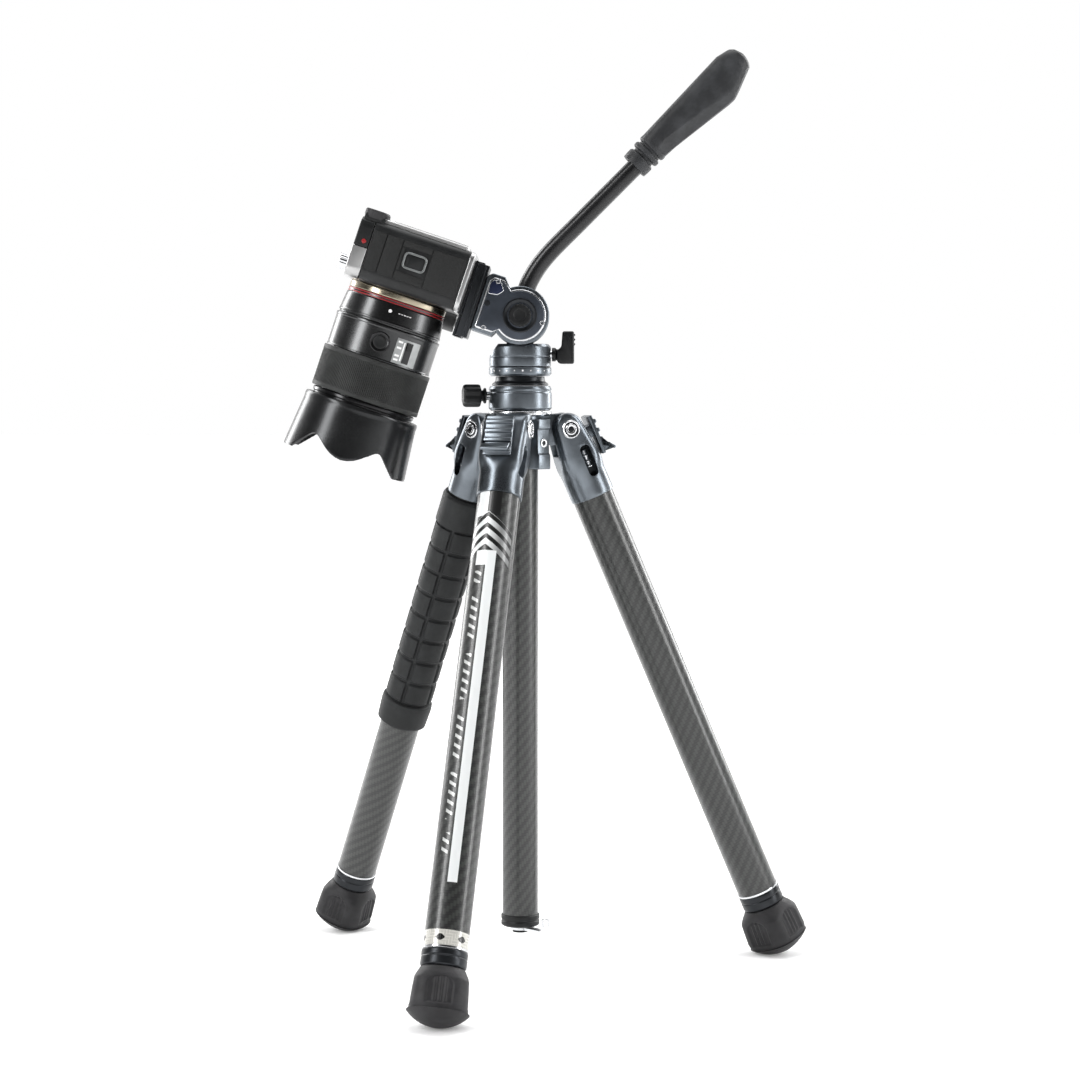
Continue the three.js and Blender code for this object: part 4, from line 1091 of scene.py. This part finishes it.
HANDLE_RUBBER = rubber("handle rubber", (0.022, 0.023, 0.025), 0.5, 1400)
grip_at = Place(handle_place((79, HANDLE_OUT, 103.3)), (1, 0, 1), (-1, 0, 1))
throat = [
    [6.2, -2], [9.6, -2], [9.9, 1.2], [9.9, 4.6], [9.2, 5.6], [7.9, 6.0], [7.9, 7.6], [9.6, 8.0],
    [10.4, 8.8]
]
throat += [
    [10.4, 11.0], [9.6, 11.9], [8.6, 12.1], [8.6, 13.6], [10.0, 13.9], [10.6, 14.8], [10.6, 17.2],
    [6.2, 17.2], [6.2, -2]
]
rings = shifted(sideways(turned(eased(throat, 0.35), 96)), z=0.8)
rubber_grip = shifted(lofted(grip_section()), x=15) + rings
part(
    "handle_rubber_grip", rubber_grip, grip_at, HANDLE_RUBBER, "handle", "black_rubber", "handle_grip",
    sharp=24
)

# ----------------------------------------
# The camera's body. A black moulded shell with grained panels, seams and a rounded port frame on
# its left end, a satin silver base plate, and a silver frame round black panels on its back.
CAMERA_BASE = 38.9
camera_place = tilt_place.at(z=CAMERA_BASE)
BACK, FRONT, LEFT, RIGHT, BODY_TOP, PLATE_TOP = 28.5, -12.0, -56.0, 68.0, 68.0, 78.0
SILVER = satin("satin silver cover", (0.44, 0.44, 0.44), 0.95, 0.32, 0.3, 0.08)


def leather(name, colour):
    """Grained black covering: rounded pebbles of uneven size, with painted shade in the creases between
    them.
    """

    def build(where, uv):
        cells = where.node(
            "ShaderNodeTexVoronoi", {"feature": "DISTANCE_TO_EDGE"}, Vector=where, Scale=1500.0,
            Randomness=0.9
        )
        pebble = cells.fade(0.0, 0.18)
        cloud = where.noise(60.0, 3.0)
        dark, light = rgb(*[c * 0.45 for c in colour]), rgb(*[c * 1.25 for c in colour])
        return {
            # Painted shade: the colour darkens towards each pebble's edge, in the creases between
            # pebbles.
            "Base_Color": (pebble * (0.7 + cloud * 0.3)).mix(dark, light),
            "Roughness": 0.62 - pebble * 0.16,
            "Normal": pebble.bump(0.5, 0.00012),
        }

    return paint(name, build, Specular_IOR_Level=0.3)


LEATHER = leather("camera covering", (0.011, 0.0115, 0.0115))
SHELL = rubber("camera shell", (0.009, 0.0095, 0.01), 0.4, 2200)


def body_line(inwards=0.0):
    """The body seen from above: rounded ends, and a swell for the hand at the right front."""
    front, back, left, right = FRONT + inwards, BACK - inwards, LEFT + inwards, RIGHT - inwards
    first, second, third, fourth = (np.linspace(k, k + 1, 10) * math.pi / 2 for k in (-1, 0, 1, 2))
    hand = eased(
        [
            [front - 12, right - 14], [front - 12, right - 19], [front - 8, right - 27],
            [front, right - 30], [front, right - 40]
        ],
        5
    )
    corners = [arc(back - 6, left + 6, 6, first), arc(back - 8, right - 8, 8, second)]
    corners += [arc(front - 2, right - 10, 10, third), hand, arc(front + 7, left + 7, 7, fourth)]
    return np.concatenate(corners)


shell_shape = slab(body_line(0.25), 3.2, BODY_TOP - 0.3, 0.5)
part("camera_shell", shell_shape, camera_place, SHELL, "camera", "leatherette", "camera_body")
base = slab(body_line(0.15), 0, 3.0, 0.5)
base += hoop(3.6, 7.5, 0, 0.4, 0.1)
part("camera_base", base, camera_place, SILVER, "camera", "silver_cover", "camera_base_plate")
# Panels stand 0.35 mm proud of the shell on the left end, with the seams as gaps between them.
end = []
for x0, x1, z0, z1 in (
    (-4.5, 21.5, 4.6, 26.2), (-4.5, 1.2, 27, 46.4), (17.6, 21.5, 27, 46.4), (-4.5, 21.5, 47.2, 57.6),
    (-4.5, 21.5, 58.4, 66.6), (1.8, 17, 44.4, 46.4)
):
    end += box(x0, x1, LEFT - 0.35, LEFT + 0.6, z0, z1, 0.2, 0.3)
part("camera_end_panels", end, camera_place, LEATHER, "camera", "leatherette")
port_line = eased([[4.0, 28.2], [15.2, 28.2], [15.2, 43.8], [4.0, 43.8]], 3.6, True, 6)
port_inner = inset(port_line, 1.3)
port_steps = [(port_line, -0.4), (port_line, 0.9), (inset(port_line, 0.4), 1.2)]
port_steps += [(inset(port_line, 0.9), 1.2), (port_inner, 0.9), (port_inner, -0.4)]
port_rings = [np.insert(line, 1, LEFT - proud, axis=1) for line, proud in port_steps]
port_frame = lofted(port_rings, wrap=True)
GREY_TRIM = satin("grey trim", (0.2, 0.21, 0.21), 0.6, 0.34)
part("port_frame", port_frame, camera_place, GREY_TRIM, "camera", "silver_cover")
door = upright(slab(inset(port_line, 1.55), LEFT - 0.55, LEFT + 0.2, 0.3))
door += upright(
    slab(
        eased([[7.2, 40.0], [11.8, 40.0], [11.8, 41.0], [7.2, 41.0]], 0.4, True), LEFT - 0.95, LEFT, 0.2
    )
)
part("port_cover", door, camera_place, KNOB_PLASTIC, "port_door", "black_rubber", "port_door")
rim_line = eased([[LEFT + 5, 5], [RIGHT - 7, 5], [RIGHT - 7, 65], [LEFT + 5, 65]], 2.5, True)
well_line = eased(
    [[LEFT + 8.5, 6.3], [RIGHT - 10.5, 6.3], [RIGHT - 10.5, 60.5], [LEFT + 8.5, 60.5]], 1.5, True
)
rim_steps = [(rim_line, -0.6), (rim_line, 1.6), (inset(rim_line, 0.6), 2.2)]
rim_steps += [(well_line, 2.2), (well_line, -0.6)]
rim_rings = [np.insert(line, 0, BACK + proud, axis=1) for line, proud in rim_steps]
back_frame = lofted(rim_rings, wrap=True)
back_panels = []
for low, high in ((LEFT + 8.7, -26.8), (47.8, RIGHT - 10.7)):
    back_panels += sideways(
        slab(
            eased([[low, 6.5], [high, 6.5], [high, 60.3], [low, 60.3]], 1.0, True), BACK - 0.4,
            BACK + 1.8, 0.4
        )
    )
part("camera_back_panels", back_panels, camera_place, SHELL, "camera", "black_plastic")
part("camera_back_frame", back_frame, camera_place, SILVER, "camera", "silver_cover")

# A small steel strap stud on the right end.
stud = turned(eased([[0, 0], [2.6, 0], [2.2, 1.6], [1.2, 2.2], [0, 2.2]], 0.3), 32)
stud = shifted(upright(stud), 4, RIGHT, 61.5)
part("strap_stud", stud, camera_place, BRIGHT, "camera", "silver_cover")

# ----------------------------------------
# The top plate. Satin silver with knurled dials, a shutter button in a black collar and a shoe;
# the black finder fills the rear left corner, with its rubber eyecup behind and a red dot beside.
RED = paint(
    "red enamel",
    lambda where, uv: {
        "Base_Color": where.noise(800.0).mix(rgb(0.2, 0.006, 0.008), rgb(0.3, 0.009, 0.012))
    },
    Roughness=0.35,
)


def clipped(outline, x_limit, y_limit):
    """An outline with the corner beyond both limits taken out, its points kept in order."""
    p = np.asarray(outline, float).copy()
    beyond = (p[:, 0] > x_limit) & (p[:, 1] < y_limit)
    start = np.flatnonzero(beyond & ~np.roll(beyond, 1))[0]
    p, beyond = np.roll(p, -start, 0), np.roll(beyond, -start)
    kept = p[~beyond]
    return np.concatenate([kept, [[x_limit, kept[-1][1]], [x_limit, y_limit], [kept[0][0], y_limit]]])


top_line = clipped(body_line(0.1), 8.3, -27.0)
top_shape = slab(top_line, BODY_TOP, PLATE_TOP, 0.7)
shoe = box(4, 24, -9, 9, PLATE_TOP - 0.2, PLATE_TOP + 0.9, 0.2, 0.5)
for wall in ((-9, -6.6), (6.6, 9)):
    shoe += box(4, 24, *wall, PLATE_TOP, PLATE_TOP + 2.3, 0.2, 0.4)
for lip in ((-9, -5), (5, 9)):
    shoe += box(4, 24, *lip, PLATE_TOP + 1.6, PLATE_TOP + 2.4, 0.2, 0.3)
part("top_cover", top_shape, camera_place, SILVER, "camera", "silver_cover", "camera_top_plate")
part("accessory_shoe", shoe, camera_place, BRIGHT, "camera", "silver_cover")
finder_line = [[8.6, -55.6], [22.5, -55.6], [26, -54.4], [28.1, -50], [28.1, -27.4], [8.6, -27.4]]
finder = slab(eased(finder_line, 1.0, True), BODY_TOP, PLATE_TOP - 0.4, 0.8)
finder += box(26, 31, -53, -31, 62.5, 76.5, 0.6, 1.5)
part("finder_housing", finder, camera_place, SHELL, "camera", "black_plastic", "viewfinder")
cup_y, cup_z = squared(whole(80), 0.62)
cup_rings = []
for x, half_y, half_z in (
    (28.6, 11.4, 7.4), (30.6, 12.2, 8.2), (33.2, 12.4, 8.3), (34.2, 11.8, 7.7), (34.0, 10.4, 6.4),
    (32.0, 8.6, 5.0), (28.8, 7.8, 4.6)
):
    cup_rings.append(np.stack([x + 0 * cup_y, -42 + half_y * cup_y, 69.4 + half_z * cup_z], -1))
part("eyecup", lofted(cup_rings, wrap=True), camera_place, FOOT_RUBBER, "camera", "black_plastic")
spot = upright(round_bar(1.5, -56.7, -55.2, 0.4, 32))
part("finder_red_dot", shifted(spot, 12.5, 0, 71.6), camera_place, RED, "camera", "black_plastic")


def dial_shape(radius, low, high, teeth):
    """A dial with a fine knurl round it, a bevelled rim and a dished top."""
    line = [
        [0, low], [radius * 0.9, low], [radius, low + 0.7], [radius, high - 0.9],
        [radius * 0.9, high - 0.2]
    ]
    line += [[radius * 0.82, high], [radius * 0.72, high - 0.5], [0, high - 0.5]]
    smooth = eased(line, 0.2)
    rim = np.interp(smooth[smooth[:, 0] > 1e-6][:, 0], [0, radius * 0.93, radius], [0, 0, 0.05])
    return lobed(smooth, rim, teeth, teeth * 8)


left_dial = dial_shape(6, 78.3, 84.6, 20)
left_dial += round_bar(2.2, 84, 85, 0.3, 32)
part(
    "left_dial_knurled", left_dial, camera_place.at(-3.4, -38), BRIGHT, "left_dial", "silver_cover",
    "left_dial"
)
part(
    "mode_dial_knurled", dial_shape(9.5, 78.3, 84, 30), camera_place.at(4, 30), BRIGHT, "mode_dial",
    "silver_cover", "mode_dial"
)
button = turned(
    eased([[0, 72.2], [4.4, 72.2], [4.4, 79.4], [3.6, 80.1], [1.2, 79.7], [0, 79.6]], 0.3), 64
)
part(
    "shutter_release", button, camera_place.at(-12, 52), BRIGHT, "shutter", "silver_cover",
    "shutter_button"
)
button_ring = turned(
    eased([[4.9, 78], [6.4, 78], [6.4, 79.0], [5.7, 79.5], [4.9, 79.3], [4.9, 78]], 0.2), 64
)
part("shutter_collar", button_ring, camera_place.at(-12, 52), DARK_ALLOY, "camera", "black_alloy")

# ----------------------------------------
# The rear screen. A glass-fronted panel in a silver case on a hinge along its lower edge, with
# small black buttons and a ring of keys on the body beside it.
GLASS_BLACK = paint(
    "screen glass",
    lambda where, uv: {
        "Base_Color": where.noise(14.0, 1.0).mix(rgb(0.004, 0.005, 0.006), rgb(0.012, 0.014, 0.018)),
        "Roughness": where.noise(180.0, 3.0) * 0.08 + 0.02,
    },
    Coat_Weight=1.0, Coat_Roughness=0.02,
)
screen = sideways(
    slab(eased([[-26.3, 6.7], [47.3, 6.7], [47.3, 59.3], [-26.3, 59.3]], 2.2, True, 5), 28.9, 32.4, 0.6)
)
part("screen_case", screen, camera_place, SILVER, "screen", "black_plastic", "rear_screen")
pane = sideways(
    slab(
        eased([[-22.6, 9.8], [43.4, 9.8], [43.4, 56.2], [-22.6, 56.2]], 1.2, True, 4), 32.2, 32.65, 0.15
    )
)
part("screen_pane", pane, camera_place, GLASS_BLACK, "screen", "screen_glass")
keys = []
for z in (14, 22, 30, 46):
    keys += shifted(sideways(round_bar(2.4, 30.2, 31.6, 0.4, 32)), 0, 54.5, z)
for y in (-46, -38):
    keys += shifted(sideways(round_bar(1.9, 30.2, 31.4, 0.4, 32)), 0, y, 62)
ring_key = sideways(
    turned(
        eased([[3.2, 30.2], [6.6, 30.2], [6.6, 31.2], [5.8, 31.8], [3.2, 31.4], [3.2, 30.2]], 0.3), 64
    )
)
keys += shifted(ring_key, 0, 55.5, 38)
part("back_keys", keys, camera_place, KNOB_PLASTIC, "camera", "black_plastic")

# ----------------------------------------
# The lens. Turned alloy barrels in satin black, champagne at the mount with red lines and a white
# index dot, a button and a switch panel on the second barrel, and a fine-ribbed rubber ring.
LENS_AXIS = 42.5
lens_place = Place(camera_place((FRONT, 0, LENS_AXIS)), camera_place.axes[2], -camera_place.axes[0])
CHAMPAGNE = machined("champagne mount", (0.42, 0.37, 0.28), 0.2)
BARREL = satin("barrel anodising", (0.06, 0.061, 0.062), 0.9, 0.24, 0.2, 0.12)
BARREL_GLOSS = satin("glossy barrel", (0.02, 0.02, 0.021), 0.7, 0.2, 0.1, 0.15)
RING_RUBBER = rubber("focus ring rubber", (0.02, 0.021, 0.0205), 0.6, 2400)

mount = turned(
    eased([[20, 0.2], [33.3, 0.2], [33.5, 1.0], [33.5, 4.2], [33.1, 4.7], [20, 4.7], [20, 0.2]], 0.25),
    160
)
part("lens_mount_band", mount, lens_place, CHAMPAGNE, "camera", "lens_black")
lines = []
for low in (4.9, 6.6):
    lines += hoop(20, 33.6, low, low + 0.8, 0.15, 160)
part("lens_red_lines", lines, lens_place, RED, "camera", "lens_black")
rear_line = [
    [0, 4.8], [33.2, 4.8], [33.3, 5.8], [33.2, 6.5], [33.4, 7.5], [33.9, 8.2], [35.1, 19.4], [35.4, 20],
    [35.4, 20.9], [34.6, 21.3]
]
rear_line += [[34.6, 22.3], [0, 22.3]]
part(
    "lens_rear_shell", turned(eased(rear_line, 0.25), 160), lens_place, BARREL, "camera", "lens_black",
    "lens_rear_barrel"
)
mid_line = [
    [0, 22.6], [35.6, 22.6], [36, 23.2], [36, 24.4], [35.7, 24.8], [35.7, 44.4], [36, 45], [36, 45.6],
    [31, 45.6], [31, 75], [0, 75]
]
part(
    "lens_mid_shell", turned(eased(mid_line, 0.2), 160), lens_place, BARREL, "camera", "lens_black",
    "lens_mid_barrel"
)


def on_barrel(angle, height, radius):
    """A frame on a barrel: +Z out from the lens axis, +Y forward, at an angle and a height."""
    a = math.radians(angle)
    out = np.array([math.cos(a), math.sin(a), 0])
    x = np.array([-math.sin(a), math.cos(a), 0])
    here = lens_place(out * radius + (0, 0, height))
    return Place(here, x @ lens_place.axes, out @ lens_place.axes)


dot = round_bar(1.15, -0.4, 0.25, 0.1, 32)
part("lens_index_dot", dot, on_barrel(-90, 12.6, 34.35), INK_WHITE, "camera", "lens_black")
hold_place = on_barrel(-90, 34, 0)
hold_well = turned(
    eased([[4.7, 34.6], [6.9, 34.6], [6.9, 35.9], [6.3, 36.3], [4.7, 35.7], [4.7, 34.6]], 0.2), 80
)
part("hold_button_ring", hold_well, hold_place, BARREL_GLOSS, "camera", "lens_black")
hold = turned(
    eased([[0, 32.7], [4.4, 32.7], [4.4, 36.2], [3.8, 36.6], [2.0, 36.3], [0, 36.2]], 0.3), 64
)
part(
    "hold_button_cap", hold, hold_place, KNOB_PLASTIC, "hold_button", "black_plastic",
    "focus_hold_button"
)


def wrapped(angle_low, angle_high, low, high, inner, outer):
    """A curved panel in strips of about a degree, so that it follows the barrel."""
    count = max(1, round((angle_high - angle_low) / 3)) * 3 + 1
    t = np.radians(np.linspace(angle_low, angle_high, count))[:, None]
    return lofted(
        round_rings(np.array([inner, outer, outer, inner]), t, [low, low + 0.1, high - 0.1, high])
    )


ticks = []
for k in range(5):
    ticks += wrapped(-101.5 - 3.2 * k, -99.5 - 3.2 * k, 12.2, 12.9, 33.0, 34.5)
part("lens_index_ticks", ticks, lens_place, INK_WHITE, "camera", "lens_black")
PANEL_GREY = satin("switch panel", (0.3, 0.31, 0.31), 0.6, 0.36)
panel = wrapped(-135, -107, 27.4, 44.2, 35.2, 36.15)
part("switch_panel", panel, lens_place, PANEL_GREY, "camera", "lens_black")
well = wrapped(-126, -118, 28.6, 43, 35.4, 36.3)
part("switch_well", well, lens_place, BARREL_GLOSS, "camera", "lens_black")
marks = []
for low in (29.0, 33.0, 38.2, 41.0):
    marks += wrapped(-113.6, -108.6, low, low + 1.5, 35.6, 36.28)
marks += wrapped(-116.6, -115.2, 29.4, 42, 35.6, 36.28)
part("switch_marks", marks, lens_place, INK_WHITE, "camera", "lens_black")
slider = wrapped(-125, -119, 29.2, 34.2, 35.0, 37.2)
part(
    "switch_slider", slider, lens_place, KNOB_PLASTIC, "focus_switch", "black_plastic",
    "focus_mode_switch"
)


def ring_rings():
    """The focus ring: fine ribs along the lens between two plain rims."""
    z = np.array([46.1, 46.3, 47.2, 48.6, 49.0, 49.4, 71.0, 71.4, 71.8, 73.2, 74.1, 74.3])
    base = np.array([36.4, 36.8, 37.0, 37.0, 36.8, 36.9, 36.9, 36.8, 37.0, 37.0, 36.8, 36.4])
    deep = np.array([0, 0, 0, 0, 0.1, 0.42, 0.42, 0.1, 0, 0, 0, 0])
    t = whole(1080)
    rib = np.clip(0.5 + 0.9 * np.cos(180 * t), 0, 1)
    radius = base[:, None] - deep[:, None] * (1 - rib)
    outside = round_rings(radius, t, z[:, None])
    return np.concatenate([outside, round_rings(31.4, t, np.array([[74.3], [46.1]]))])


part(
    "focus_ring_rubber", lofted(ring_rings(), wrap=True), lens_place, RING_RUBBER, "focus_ring",
    "black_rubber", "focus_ring"
)
front_line = [
    [31.3, 74.8], [34.6, 74.8], [35.2, 75.4], [35.2, 77.2], [34.4, 77.8], [34.4, 84.2], [30.6, 84.2],
    [30.6, 75.4], [31.3, 74.8]
]
part(
    "lens_front_shell", turned(eased(front_line, 0.25), 160), lens_place, BARREL_GLOSS, "camera",
    "lens_black", "lens_front_barrel"
)
GLASS = paint(
    "coated front glass",
    lambda where, uv: {
        # Painted reflection: the glass's colour runs from dark purple at the middle to dark green at
        # the rim, like the reflections of its coatings.
        "Base_Color": uv.parts()[1].fade(0.0, 30.0).mix(
            rgb(0.006, 0.004, 0.012), rgb(0.002, 0.006, 0.006)
        ),
        "Roughness": where.noise(90.0, 2.0) * 0.04 + 0.01,
    },
    Coat_Weight=1.0, Coat_Roughness=0.01, Coat_Tint=rgb(0.75, 0.85, 1.0),
)
dome = arc(0, 0, 1, np.linspace(0.05, 1.5, 24)) * (30.2, 5.2) + (0, 77.4)
glass_line = [[0, 75.7], [30.2, 75.7], [30.2, 77.4], *dome, [0, 82.6]]
part(
    "front_element", turned(glass_line, 160), lens_place, GLASS, "camera", "lens_glass", "front_glass"
)

# ----------------------------------------
# The hood. A thin black shell moulded in two long tips and two rounded petals, flared towards
# the front, ribbed inside against stray light, and turned onto the lens by a short bayonet.
HOOD_LOW, HOOD_HIGH, HOOD_WALL = 79.0, 117.8, 1.5


def hood_edge(t, radius):
    """The front edge's height at turn t: the lower envelope of a tip line, a notch and a petal,
    each a curve of x = radius cos t."""
    x = np.abs(radius * np.cos(t))
    known = [0, 4, 8, 12, 16, 18.4, 20.2, 22.0, 23.8, 25.6, 34.4, 45]
    height = [
        115.8, 115.2, 113.7, 111.2, 107.9, 106.0, 104.9, 104.4, 104.9, 106.7, HOOD_HIGH, HOOD_HIGH
    ]
    return np.interp(x, known, height)


def hood_rings():
    """Rings out along the outer wall, over the edge and back down the inner wall. Each ring's
    height is a share of the way from the seat to the edge at that turn."""
    t = whole(720)
    edge = hood_edge(t, 41.0)
    share = np.concatenate([[0, 0.01, 0.04], np.linspace(0.08, 0.98, 26), [0.995, 1.0]])[:, None]
    z = HOOD_LOW + share * (edge - HOOD_LOW)
    lip = np.interp(
        share, [0, 0.01, 0.04, 0.075, 0.09, 0.98, 1.0], [-0.5, 0.1, 0.45, 0.45, 0.0, 0.0, -0.35]
    )
    outer = 38.6 + (z - HOOD_LOW) * 4.0 / 39.0 + lip
    inner = outer[::-1] - lip[::-1] - HOOD_WALL + 0.12 * np.sin(
        (z[::-1] - HOOD_LOW) * 2 * math.pi / 2.2
    )
    return round_rings(np.concatenate([outer, inner]), t, np.concatenate([z, z[::-1]]))


HOOD_BLACK = satin("hood plastic", (0.03, 0.031, 0.032), 0.75, 0.25, 0.12, 0.12)
hood = lofted(hood_rings(), wrap=True)
seat_line = [[34.7, 79.2], [38.8, 79.2], [38.8, 83.6], [37.3, 84.4], [34.7, 84.4], [34.7, 79.2]]
hood += turned(eased(seat_line, 0.3), 160)
part("hood_shell", hood, lens_place, HOOD_BLACK, "hood", "lens_black", "lens_hood")

# ----------------------------------------
# The studio. A pale seamless floor that glows as painted light, dim near the object and brighter
# further out, a bright surround, four tall soft strip lights that put long highlights on the tubes and
# barrels, a square light on top, and one long-lens camera in front.
floor_mesh = bpy.data.meshes.new("floor")
span = 30.0
floor_mesh.from_pydata(
    [(-span, -span, 0), (span, -span, 0), (span, span, 0), (-span, span, 0)], [], [(0, 1, 2, 3)]
)
floor_object = bpy.data.objects.new("floor", floor_mesh)
bpy.context.scene.collection.objects.link(floor_object)
FLOOR = paint(
    "pale floor",
    lambda where, uv: {
        "Base_Color": where.noise(3.0, 2.0).mix(rgb(0.9, 0.9, 0.9), rgb(0.93, 0.93, 0.93)),
        # Painted glow: the floor gives off light, dim near the object and brighter further out, so that
        # it fades into the white surround.
        "Emission_Color": where.node(
            "ShaderNodeVectorMath", {"operation": "LENGTH"}, "Value", Vector=where
        )
        .fade(0.35, 1.6)
        .mix(rgb(0.16, 0.16, 0.16), rgb(0.7, 0.7, 0.7)),
    },
    Roughness=0.9, Emission_Strength=1.0,
)
floor_mesh.materials.append(FLOOR)


def lamp(name, place, aim, width, height, power):
    """A soft rectangular light at a place, turned to face another, both in metres."""
    data = bpy.data.lights.new(name, "AREA")
    data.shape, data.size, data.size_y, data.energy = "RECTANGLE", width, height, power
    light = bpy.data.objects.new(name, data)
    bpy.context.scene.collection.objects.link(light)
    light.location = place
    direction = np.asarray(aim, float) - np.asarray(place, float)
    light.rotation_euler = mathutils.Vector(direction).to_track_quat("-Z", "Y").to_euler()
    return light


lamp("key", (-1.5, -1.1, 1.2), (0, 0, 0.35), 0.5, 1.7, 34)
lamp("fill", (1.7, -0.5, 0.9), (0, 0, 0.35), 0.45, 1.7, 24)
lamp("top", (0.1, 0.2, 2.1), (0, 0, 0.3), 1.6, 1.6, 22)
lamp("back_left", (-1.3, 1.2, 1.0), (0, 0, 0.3), 0.5, 1.6, 22)
lamp("back_right", (1.3, 1.2, 1.0), (0, 0, 0.3), 0.5, 1.6, 22)

# The surround is white behind the object and to its sides, and dim behind the camera.
world = bpy.data.worlds.new("studio")
world.use_nodes = True
surround = Wire(world.node_tree, world.node_tree.nodes.new("ShaderNodeTexCoord").outputs["Generated"])
depth = surround.parts()[1].fade(-0.1, 0.65, 0.05, 1.0)
backdrop = world.node_tree.nodes["Background"]
backdrop.inputs["Color"].default_value = rgb(1.0, 1.0, 1.0)
world.node_tree.links.new(depth.socket, backdrop.inputs["Strength"])
bpy.context.scene.world = world
bpy.context.scene.view_settings.view_transform = "Standard"

camera_data = bpy.data.cameras.new("camera")
camera_data.lens, camera_data.sensor_width = 87.9, 36
camera_data.clip_start, camera_data.clip_end = 0.05, 100
camera = bpy.data.objects.new("camera", camera_data)
bpy.context.scene.collection.objects.link(camera)
camera.location = (-0.0055, -1.7489, 0.382)
camera.rotation_euler = (math.radians(87.03), 0, 0)
bpy.context.scene.camera = camera
